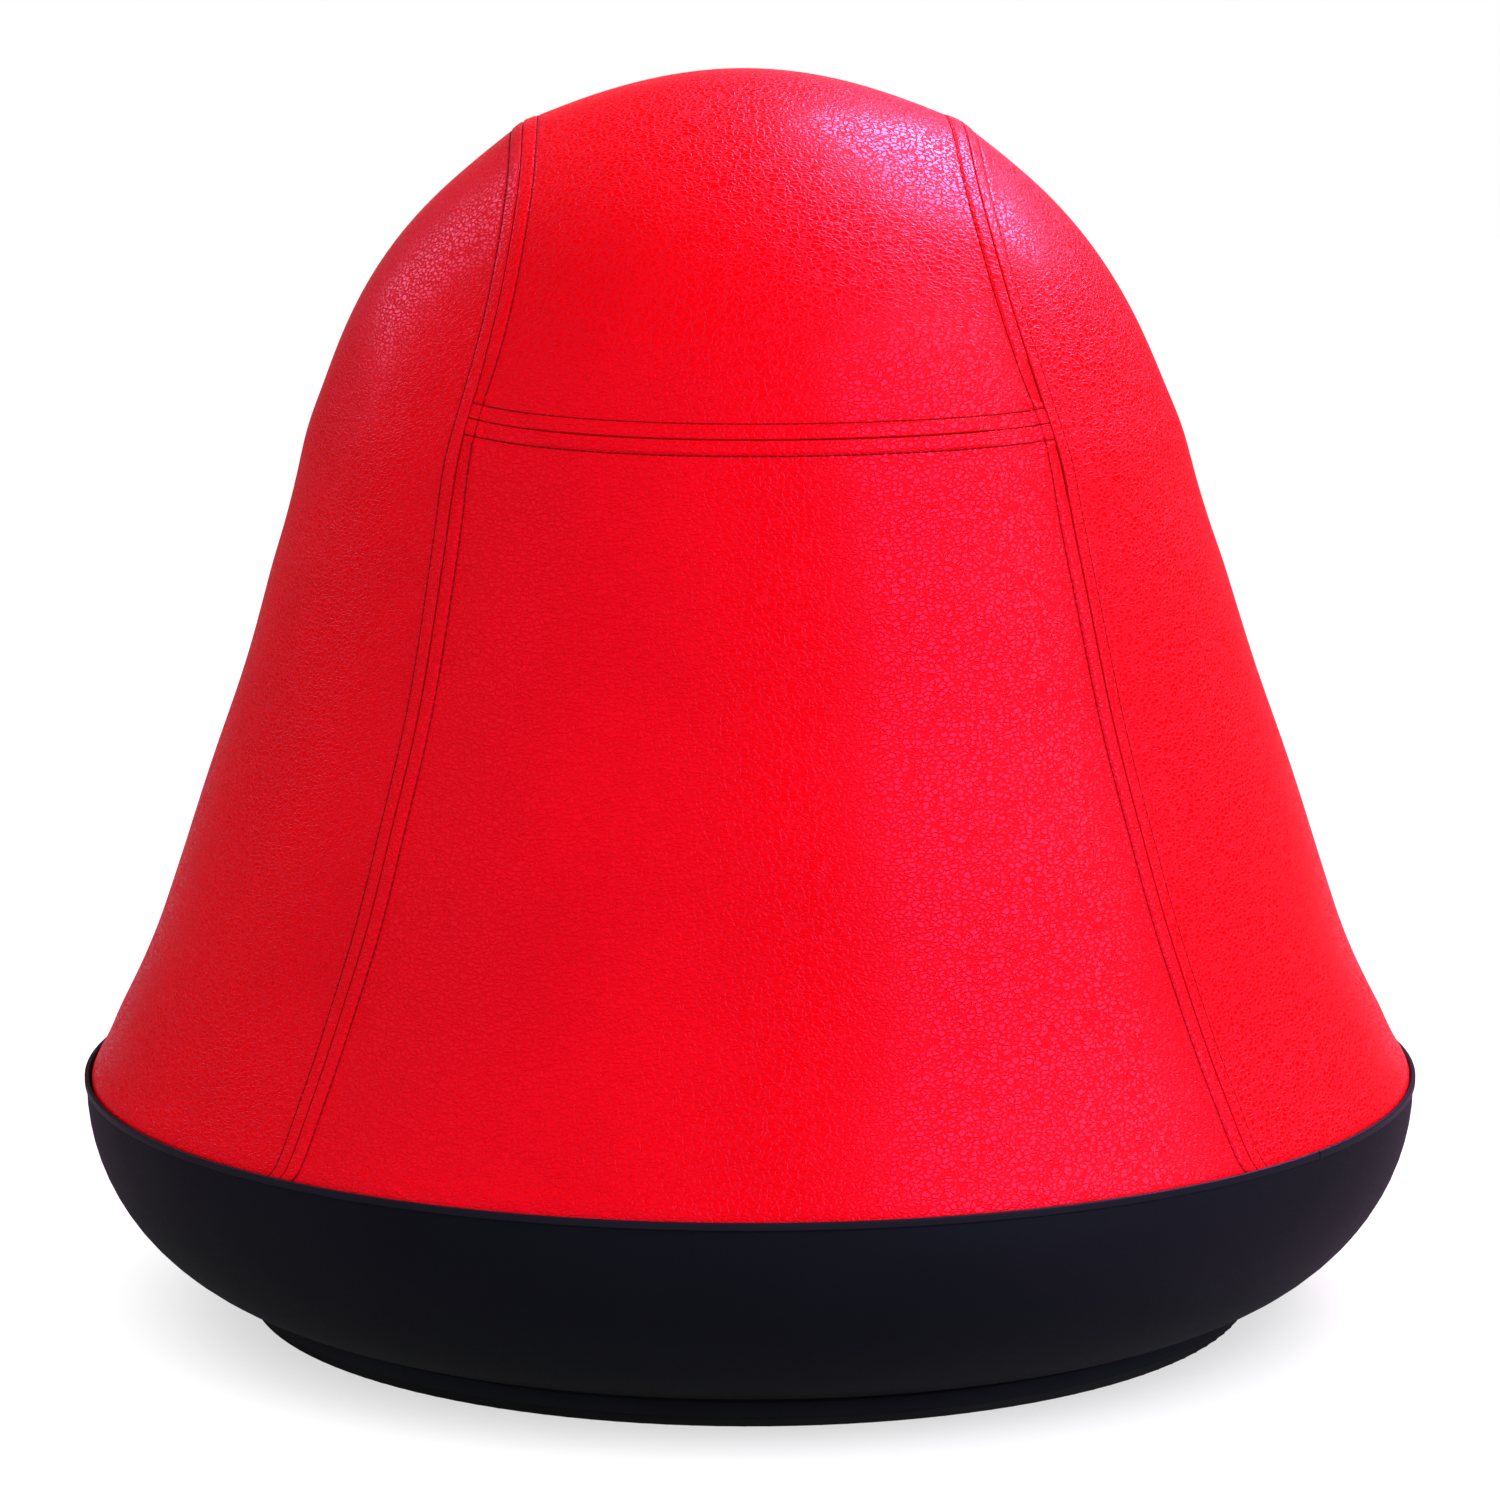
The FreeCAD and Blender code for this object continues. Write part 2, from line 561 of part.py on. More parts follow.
def make_bowl():
    """Moulded bowl: round side, tapered edge, hem ledge, kicked-up floor, hub, ribs and screw bosses."""
    body = new_body("bowl")
    turn_profile(body, "bowl_shell", [
        ("bowl_radius", "bowl_edge_height"),
        ("bowl_radius", "bowl_curve_height", "right", "bowl_curve_radius"),
        ("lip_radius", "lip_height"),
        ("lip_inner_radius", "lip_height"),
        ("kick_radius", "floor_bottom"),
        ("bowl_hub_radius", "floor_bottom"),
        ("bowl_hub_radius", "bowl_hub_bottom"),
        ("bush_radius", "bowl_hub_bottom"),
        ("bush_radius", "bowl_hub_top"),
        ("bowl_hub_radius", "bowl_hub_top"),
        ("bowl_hub_radius", "floor_top"),
        ("moat_inner_radius", "floor_top"),
        ("moat_radius", "moat_height", "left", "inner_round"),
        ("ledge_bottom_radius", "ledge_bottom"),
        ("ledge_radius", "ledge_bottom"),
        ("ledge_radius", "ledge_top"),
        ("ledge_top_radius", "ledge_top", "left", "inner_round"),
        ("taper_radius", "taper_foot"),
        ("edge_inner_radius", "bowl_edge_height"),
    ])
    rib = draw_outline(new_sketch(body, "rib_outline", "XZ_Plane"), [
        ("round_ring + rib_round * cos(rib_low_angle)", "bowl_curve_height - rib_round * sin(rib_low_angle)",
         "left", "rib_round"),
        ("round_ring + rib_round * cos(rib_high_angle)", "bowl_curve_height - rib_round * sin(rib_high_angle)"),
    ])
    repeat_round(body, "wall_ribs", [pad(body, "wall_rib", rib, "rib_thickness", both_ways=True)], "rib_count")
    boss = draw_circle(new_sketch(body, "boss_circle", "XY_Plane", "floor_top"), "race_screw_circle", "0",
                       "boss_radius")
    repeat_round(body, "race_bosses", [pad(body, "race_boss", boss, "boss_height")], "race_screw_count")
    hole = "screw_radius + screw_fit"
    hole_ring(body, "race_hole", "race_screw_circle", hole, "floor_bottom",
              "race_screw_length - race_thickness + screw_radius", "race_screw_count")
    hole_ring(body, "cradle_hole", "cradle_screw_circle", hole,
              "floor_top + cradle_wall - cradle_screw_length", "bowl_floor_thickness", "cradle_screw_count")
    return body


def make_rim_trim():
    """Edging strip over the bowl's edge, cut to length and butted."""
    body = new_body("rim_trim")
    trim_inner = "edge_inner_radius + trim_setback"
    lip_inner = "bowl_radius + trim_fit"
    trim_top = "bowl_edge_height + trim_height"
    lip_bottom = "bowl_edge_height - trim_lip_depth"
    turn_profile(body, "edging", [
        (trim_inner, "bowl_edge_height"),
        (lip_inner, "bowl_edge_height"),
        (lip_inner, lip_bottom),
        (f"{lip_inner} + trim_lip_thickness", lip_bottom),
        (f"{lip_inner} + trim_lip_thickness", trim_top),
        (trim_inner, trim_top),
    ])
    sketch = draw_outline(new_sketch(body, "butt_joint_slot", "XY_Plane", lip_bottom), [
        ("bowl_radius - trim_lip_thickness * 2", "-trim_joint_gap / 2"),
        ("bowl_radius + trim_lip_thickness * 2", "-trim_joint_gap / 2"),
        ("bowl_radius + trim_lip_thickness * 2", "trim_joint_gap / 2"),
        ("bowl_radius - trim_lip_thickness * 2", "trim_joint_gap / 2"),
    ])
    pocket(body, "butt_joint", sketch, "trim_height + trim_lip_depth", upwards=True)
    bind(body, "Placement.Rotation.Angle", "trim_joint_angle")
    return body


def seat_point(radius, round_radius):
    """Corner on the cradle's dished seat, or on its back, at a radius."""
    return (radius, f"belly_height - sqrt({round_radius} ^ 2 - ({radius}) ^ 2)")


def make_cradle():
    """Dished ring that carries the ball above the pivot, with webs under its seat and a screwed foot."""
    body = new_body("ball_cradle")
    inner_back = "cradle_inner_radius + cradle_wall"
    outer_face = "cradle_outer_radius + cradle_wall"
    flange_top = "floor_top + cradle_wall"
    turn_profile(body, "cradle_ring", [
        ("cradle_inner_radius", "floor_top"),
        (inner_back, "floor_top"),
        seat_point(inner_back, "seat_back_round") + ("left", "seat_back_round"),
        seat_point("cradle_outer_radius", "seat_back_round"),
        ("cradle_outer_radius", "floor_top"),
        ("cradle_flange_radius", "floor_top"),
        ("cradle_flange_radius", flange_top),
        (outer_face, flange_top),
        seat_point(outer_face, "seat_round") + ("right", "seat_round"),
        seat_point("cradle_inner_radius", "seat_round"),
    ])
    middle_in = "cradle_inner_radius + cradle_wall / 2"
    middle_out = "cradle_outer_radius + cradle_wall / 2"
    web = draw_outline(new_sketch(body, "web_outline", "XZ_Plane"), [
        (middle_in, "floor_top"),
        (middle_out, "floor_top"),
        seat_point(middle_out, "(seat_round + cradle_wall / 2)") + ("right", "seat_round + cradle_wall / 2"),
        seat_point(middle_in, "(seat_round + cradle_wall / 2)"),
    ])
    repeat_round(body, "cradle_webs", [pad(body, "cradle_web", web, "cradle_wall", both_ways=True)],
                 "cradle_rib_count")
    hole_ring(body, "flange_hole", "cradle_screw_circle", "screw_radius + screw_fit", "floor_top",
              "cradle_wall", "cradle_screw_count")
    return body


def make_screws(label, circle, seat, length, count, head_up):
    """A ring of low-headed screws with their heads' undersides at one height."""
    body = new_body(label)
    side = 1 if head_up else -1
    sketch = draw_circle(new_sketch(body, label + "_head_circle", "XY_Plane", seat), circle, "0",
                         "screw_head_radius")
    head = pad(body, label + "_head", sketch, "screw_head_height")
    head.Reversed = not head_up
    tip = f"{seat} - {side} * {length}"
    sketch = draw_circle(new_sketch(body, label + "_shank_circle", "XY_Plane", tip), circle, "0", "screw_radius")
    shank = pad(body, label + "_shank", sketch, length)
    shank.Reversed = not head_up
    repeat_round(body, label + "_ring", [head, shank], count)
    return body


def make_race(label, upper):
    """Pressed steel ring with a ball groove and screw holes; the upper one faces down."""
    body = new_body(label)
    face = "upper_race_bottom" if upper else "lower_race_top"
    back = "floor_bottom" if upper else "foot_plate_top"
    turn_profile(body, label + "_ring", [
        ("race_inner_radius", face),
        ("bearing_circle - groove_half_width", face, "right" if upper else "left", "groove_radius"),
        ("bearing_circle + groove_half_width", face),
        ("race_outer_radius", face),
        ("race_outer_radius", back),
        ("race_inner_radius", back),
    ])
    low = face if upper else back
    hole_ring(body, label + "_hole", "race_screw_circle", "screw_radius + screw_fit", low, "race_thickness",
              "race_screw_count")
    return body


def make_bearing_balls():
    """Steel balls evenly round the groove."""
    body = new_body("bearing_balls")
    ball = body.newObject("PartDesign::AdditiveSphere", "bearing_ball")
    ball.AttachmentSupport = [(origin_feature(body, "XY_Plane"), "")]
    ball.MapMode = "FlatFace"
    bind(ball, "Radius", "bearing_ball_radius")
    bind(ball, "AttachmentOffset.Base.x", "bearing_circle")
    bind(ball, "AttachmentOffset.Base.z", "bearing_height")
    repeat_round(body, "ball_ring", [ball], "bearing_ball_count")
    return body


def make_bearing_cage():
    """Flat plastic ring with a pocket for each ball."""
    body = new_body("bearing_cage")
    low = "bearing_height - cage_thickness / 2"
    high = "bearing_height + cage_thickness / 2"
    turn_profile(body, "cage_ring", [
        ("bearing_circle - cage_half_width", low),
        ("bearing_circle + cage_half_width", low),
        ("bearing_circle + cage_half_width", high),
        ("bearing_circle - cage_half_width", high),
    ])
    hole_ring(body, "cage_pocket", "bearing_circle", "groove_radius", low, "cage_thickness",
              "bearing_ball_count")
    return body


def make_foot_base():
    """Moulded foot: plate, outer wall, channel for the rubber ring, hub for the pivot bolt, ribs and bosses."""
    body = new_body("foot_base")
    channel_out = "floor_ring_radius - tongue_inset"
    channel_in = "floor_ring_inner_radius + tongue_inset"
    bore = "bolt_radius + bolt_fit"
    turn_profile(body, "foot_disc", [
        (bore, "foot_hub_top"),
        ("foot_hub_radius", "foot_hub_top"),
        ("foot_hub_radius", "foot_plate_top"),
        ("foot_radius - foot_wall", "foot_plate_top"),
        ("foot_radius - foot_wall", "foot_wall_top"),
        ("foot_radius - foot_edge_bevel", "foot_wall_top"),
        ("foot_radius", "foot_wall_top - foot_edge_bevel"),
        ("foot_radius", "floor_ring_height"),
        (channel_out, "floor_ring_height"),
        (channel_out, "foot_plate_bottom"),
        (channel_in, "foot_plate_bottom"),
        (channel_in, "floor_ring_height"),
        ("floor_ring_inner_radius", "floor_ring_height"),
        ("floor_ring_inner_radius", "foot_plate_bottom"),
        ("foot_hub_radius", "foot_plate_bottom"),
        ("foot_hub_radius", "foot_hub_bottom"),
        (bore, "foot_hub_bottom"),
    ])
    rib_low = "foot_plate_bottom - foot_rib_depth"
    rib_high = "foot_plate_bottom + foot_plate_thickness / 2"
    rib_start = "(foot_hub_radius + bolt_head_across / 2) / 2 + pocket_fit"
    rib = draw_outline(new_sketch(body, "foot_rib_outline", "XZ_Plane"), [
        (f"{rib_start} + foot_rib_thickness", rib_low),
        ("floor_ring_inner_radius - foot_rib_depth", rib_low),
        ("floor_ring_inner_radius", "floor_ring_height"),
        ("floor_ring_inner_radius", rib_high),
        (f"{rib_start} + foot_rib_thickness", rib_high),
    ])
    repeat_round(body, "foot_ribs", [pad(body, "foot_rib", rib, "foot_rib_thickness", both_ways=True)],
                 "foot_rib_count")
    boss_foot = "foot_plate_bottom - foot_boss_height"
    boss = draw_circle(new_sketch(body, "foot_boss_circle", "XY_Plane", boss_foot), "race_screw_circle", "0",
                       "boss_radius")
    repeat_round(body, "foot_bosses",
                 [pad(body, "foot_boss", boss, "foot_boss_height + foot_plate_thickness / 2")],
                 "race_screw_count")
    hole_ring(body, "foot_hole", "race_screw_circle", "screw_radius + screw_fit",
              "lower_race_top - race_screw_length", "race_screw_length", "race_screw_count")
    sketch = new_sketch(body, "head_pocket_hexagon", "XY_Plane", "foot_hub_bottom")
    draw_hexagon(sketch, "bolt_head_across + 2 * pocket_fit")
    pocket(body, "head_pocket", sketch, "head_top - foot_hub_bottom", upwards=True)
    return body


def make_floor_ring():
    """Rubber ring on the floor, its tongue pushed into the foot's channel."""
    body = new_body("floor_ring")
    tongue_in = "floor_ring_inner_radius + tongue_inset + tongue_fit"
    tongue_out = "floor_ring_radius - tongue_inset - tongue_fit"
    turn_profile(body, "rubber_ring", [
        ("floor_ring_inner_radius", "0"),
        ("floor_ring_radius - floor_ring_round", "0", "left", "floor_ring_round"),
        ("floor_ring_radius", "floor_ring_round"),
        ("floor_ring_radius", "floor_ring_height"),
        (tongue_out, "floor_ring_height"),
        (tongue_out, "foot_plate_bottom"),
        (tongue_in, "foot_plate_bottom"),
        (tongue_in, "floor_ring_height"),
        ("floor_ring_inner_radius", "floor_ring_height"),
    ])
    return body


def make_pivot():
    """Bush in the bowl's hub, and the bolt, washer and nut that hold the bowl down."""
    bush = new_body("pivot_bush")
    turn_profile(bush, "bush_sleeve", [
        ("bolt_radius + bolt_fit", "bowl_hub_bottom"),
        ("bush_radius", "bowl_hub_bottom"),
        ("bush_radius", "bowl_hub_top"),
        ("bush_flange_radius", "bowl_hub_top"),
        ("bush_flange_radius", "bush_top"),
        ("bolt_radius + bolt_fit", "bush_top"),
    ])
    bolt = new_body("pivot_bolt")
    sketch = draw_hexagon(new_sketch(bolt, "bolt_head_hexagon", "XY_Plane", "head_bottom"), "bolt_head_across")
    pad(bolt, "bolt_head", sketch, "bolt_head_height")
    sketch = draw_circle(new_sketch(bolt, "shank_circle", "XY_Plane", "head_top"), "0", "0", "bolt_radius")
    pad(bolt, "bolt_shank", sketch, "bolt_top - head_top")
    washer = new_body("thrust_washer")
    turn_profile(washer, "washer_ring", [
        ("bolt_radius + bolt_fit", "washer_bottom"),
        ("washer_radius", "washer_bottom"),
        ("washer_radius", "nut_bottom"),
        ("bolt_radius + bolt_fit", "nut_bottom"),
    ])
    nut = new_body("pivot_nut")
    sketch = draw_hexagon(new_sketch(nut, "nut_hexagon", "XY_Plane", "nut_bottom"), "bolt_head_across")
    pad(nut, "nut_block", sketch, "nut_height")
    sketch = new_sketch(nut, "nut_bore_circle", "XY_Plane", "nut_bottom")
    draw_circle(sketch, "0", "0", "bolt_radius + bolt_fit")
    pocket(nut, "nut_bore", sketch, "nut_height", upwards=True)
    return [bush, bolt, washer, nut]


pieces = make_cover()
pieces += [make_lining(), make_hem_strip(), make_ball(), make_plug()]
pieces += [make_bowl(), make_rim_trim(), make_cradle()]
pieces.append(make_screws("cradle_screws", "cradle_screw_circle", "floor_top + cradle_wall",
                          "cradle_screw_length", "cradle_screw_count", head_up=True))
pieces += [make_race("upper_race", upper=True), make_race("lower_race", upper=False)]
pieces.append(make_screws("upper_race_screws", "race_screw_circle", "upper_race_bottom",
                          "race_screw_length", "race_screw_count", head_up=False))
pieces.append(make_screws("lower_race_screws", "race_screw_circle", "lower_race_top",
                          "race_screw_length", "race_screw_count", head_up=True))
pieces += [make_bearing_balls(), make_bearing_cage(), make_foot_base(), make_floor_ring()]
pieces += make_pivot()
doc.recompute()

for thing in doc.Objects:
    if "Invalid" in thing.State or "Error" in thing.State:
        raise RuntimeError(f"{thing.Label} failed: {thing.State}")
for piece in pieces:
    if piece.Shape.isNull() or not piece.Shape.isValid() or not piece.Shape.Solids:
        raise RuntimeError(f"{piece.Label} has no sound solid")

os.makedirs("parts", exist_ok=True)
for piece in pieces:
    piece.Shape.exportStep(f"parts/{piece.Label}.step")
    print(piece.Label, len(piece.Shape.Solids), round(piece.Shape.Volume / 1000, 2), "cm3")
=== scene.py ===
"""Dresses the swivel stool: a sewn red bell cover over its ball, in a black bowl that turns.

Metres, +Z up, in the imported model's own frame. The front of the cover faces -Y.
"""
import logging
import math
from collections.abc import Sequence
from dataclasses import dataclass, field
from enum import Enum
from functools import cached_property

import bpy
import numpy as np
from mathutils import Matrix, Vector


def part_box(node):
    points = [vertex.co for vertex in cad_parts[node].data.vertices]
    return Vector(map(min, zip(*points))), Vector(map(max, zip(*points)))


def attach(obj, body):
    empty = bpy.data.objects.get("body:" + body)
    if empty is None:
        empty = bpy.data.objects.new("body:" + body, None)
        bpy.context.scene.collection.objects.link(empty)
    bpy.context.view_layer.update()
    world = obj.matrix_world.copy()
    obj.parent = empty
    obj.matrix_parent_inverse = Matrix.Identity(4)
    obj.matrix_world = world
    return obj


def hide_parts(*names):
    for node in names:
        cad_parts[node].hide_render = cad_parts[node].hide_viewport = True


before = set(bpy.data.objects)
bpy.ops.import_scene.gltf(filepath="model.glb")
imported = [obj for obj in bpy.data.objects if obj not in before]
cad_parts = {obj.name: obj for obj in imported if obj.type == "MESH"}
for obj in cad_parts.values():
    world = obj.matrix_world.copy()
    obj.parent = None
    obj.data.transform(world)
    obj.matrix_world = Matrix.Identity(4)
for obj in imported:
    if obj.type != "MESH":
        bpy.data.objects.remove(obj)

LOG = logging.getLogger("swivel_stool")
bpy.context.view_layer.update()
MM = 0.001
WELD_REACH = 0.001 * MM
# Distance that stands for no cross seam near by.
FAR = 1.0
WHITE = (1, 1, 1, 1)
SEAT = "seat"
# Attributes of meshes: the shade painted into a panel's folds, and the way out of the cover.
PAINTED_FOLD_SHADE, OUTWARD = "fold", "outward"

# What a node's input can be linked to.
Signal = bpy.types.Node | bpy.types.NodeSocket


def srgb(code: str) -> tuple[float, float, float, float]:
    """Turns an sRGB hex colour into linear light.

    Args:
        code: Colour as "#rrggbb".

    Returns:
        Linear red, green, blue and an alpha of one.
    """
    values = [int(code[i:i + 2], 16) / 255 for i in (1, 3, 5)]
    linear = [v / 12.92 if v <= 0.04045 else ((v + 0.055) / 1.055) ** 2.4 for v in values]
    return (*linear, 1.0)


def feed(node: bpy.types.Node, inputs: dict) -> None:
    """Sets or links a node's inputs.

    Args:
        node: The node.
        inputs: Socket name or number to a value, to an output socket, or to a node whose first
            output in use is meant.
    """
    for name, value in inputs.items():
        if isinstance(value, bpy.types.Node):
            value = next(socket for socket in value.outputs if socket.enabled)
        if isinstance(value, bpy.types.NodeSocket):
            node.id_data.links.new(value, node.inputs[name])
        else:
            node.inputs[name].default_value = value


def add_node(tree: bpy.types.NodeTree, kind: str, inputs: dict | None = None,
             **settings: object) -> bpy.types.Node:
    """Adds one node with its settings, values and links.

    Args:
        tree: Tree that takes the node.
        kind: Node type's identifier.
        inputs: What its sockets are set to or linked from.
        **settings: Properties of the node itself.

    Returns:
        The new node.
    """
    node = tree.nodes.new(kind)
    for name, value in settings.items():
        setattr(node, name, value)
    feed(node, inputs or {})
    return node


def link_object(name: str, data: bpy.types.ID) -> bpy.types.Object:
    """Makes an object at the origin, linked to the scene.

    Args:
        name: Object's name.
        data: Its mesh, lamp or camera.

    Returns:
        The new object.
    """
    made = bpy.data.objects.new(name, data)
    bpy.context.scene.collection.objects.link(made)
    return made


def weld(points: np.ndarray) -> tuple[np.ndarray, np.ndarray]:
    """Merges points that share a place.

    Args:
        points: Points as rows of x, y, z.

    Returns:
        The points that are left, and for each given point its number among them.
    """
    keys = np.round(points / WELD_REACH).astype(np.int64)
    kept, where = np.unique(keys, axis=0, return_index=True, return_inverse=True)[1:]
    return points[kept], where.reshape(-1)


def mesh_object(name: str, points: np.ndarray, faces: Sequence[Sequence[int]]) -> bpy.types.Object:
    """Makes a smooth mesh object from welded points, without the faces that welding closes.

    Args:
        name: Object's name.
        points: Points as rows of x, y, z.
        faces: Corner numbers of each face.

    Returns:
        The new object.
    """
    kept, where = weld(points)
    corners = [list(dict.fromkeys(where[list(face)].tolist())) for face in faces]
    mesh = bpy.data.meshes.new(name)
    mesh.from_pydata(kept.tolist(), [], [around for around in corners if len(around) > 2])
    mesh.polygons.foreach_set("use_smooth", np.ones(len(mesh.polygons), bool))
    mesh.update()
    return link_object(name, mesh)


def line_object(name: str, runs: Sequence[np.ndarray], closed: bool = False) -> bpy.types.Object:
    """Makes an object of edges only, from point to point along each run.

    Args:
        name: Object's name.
        runs: Points of each run, as rows of x, y, z.
        closed: True where a run's end joins its start.

    Returns:
        The new object.
    """
    edges, start = [], 0
    for run in runs:
        count = len(run)
        steps = range(count if closed else count - 1)
        edges += [(start + step, start + (step + 1) % count) for step in steps]
        start += count
    mesh = bpy.data.meshes.new(name)
    mesh.from_pydata(np.concatenate(runs).tolist(), edges, [])
    return link_object(name, mesh)


def grid_faces(rows: int, columns: int, closed: bool = False) -> list[tuple[int, int, int, int]]:
    """Lists the four-sided faces of a grid of points.

    Args:
        rows: Rows of the grid.
        columns: Points in a row.
        closed: True where the last column joins the first.

    Returns:
        Corner numbers of each face.
    """
    faces = []
    for start in range(0, (rows - 1) * columns, columns):
        for here in range(columns if closed else columns - 1):
            following = (here + 1) % columns
            faces.append((start + here, start + following,
                          start + columns + following, start + columns + here))
    return faces


def ring_points(radius: np.ndarray | float, turn: np.ndarray | float,
                height: np.ndarray | float) -> np.ndarray:
    """Points about the upright axis, by the turn from the front towards the right."""
    return np.stack(np.broadcast_arrays(radius * np.sin(turn), -radius * np.cos(turn), height), -1)


def declare(piece: bpy.types.Object, replaced: str | None = None) -> bpy.types.Object:
    """Makes a piece part of the seat.

    Args:
        piece: The piece.
        replaced: CAD node that it stands for.

    Returns:
        The piece.
    """
    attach(piece, SEAT)
    if replaced is not None:
        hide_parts(replaced)
    return piece


@dataclass(frozen=True)
class Ramp:
    """An eased rise from 0 at one place to 1 at another."""

    low: float
    high: float

    def at(self, place: np.ndarray) -> np.ndarray:
        """Share of the rise at each place."""
        share = np.clip((np.asarray(place) - self.low) / (self.high - self.low), 0, 1)
        return share * share * (3 - 2 * share)


@dataclass(frozen=True)
class Hump:
    """A smooth rise about one place, nearly spent at twice its reach."""

    middle: float
    reach: float
    height: float = 1.0

    def at(self, place: np.ndarray) -> np.ndarray:
        """Rise at each place."""
        return self.height * np.exp(-((np.asarray(place) - self.middle) / self.reach) ** 2)


class Relief(Enum):
    """How a surface was made, which sets the pattern of its relief."""

    EMBOSSED = "embossed"
    SPARK_ERODED = "spark eroded"
    TURNED = "turned"
    OPEN_CELL = "open cell"
    TWISTED = "twisted"
    SMOOTH_MOULDED = "smooth moulded"


@dataclass(frozen=True)
class CellPattern:
    """Cells of a relief.

    Attributes:
        squash: How much closer they lie upwards than level.
        feature: What is measured: the distance from a cell's middle or from its edge.
        hollow: That measure in the hollows, in grains.
        crest: That measure on the heights, in grains.
        sway_scale: Scale of the sway that makes the cells uneven, against their own.
        sway: Reach of that sway, in grains.
    """

    squash: float
    feature: str
    hollow: float
    crest: float
    sway_scale: float = 0.6
    sway: float = 1.4


# Flat pebbles drawn out level with narrow creases between them, and rounded open cells.
CELLS = {
    Relief.EMBOSSED: CellPattern(1.6, "DISTANCE_TO_EDGE", 0.0, 0.2),
    Relief.OPEN_CELL: CellPattern(1.0, "F1", 0.65, 0.1),
}
# Waves that a wave texture draws per unit of its scale.
WAVES_PER_SCALE = 3


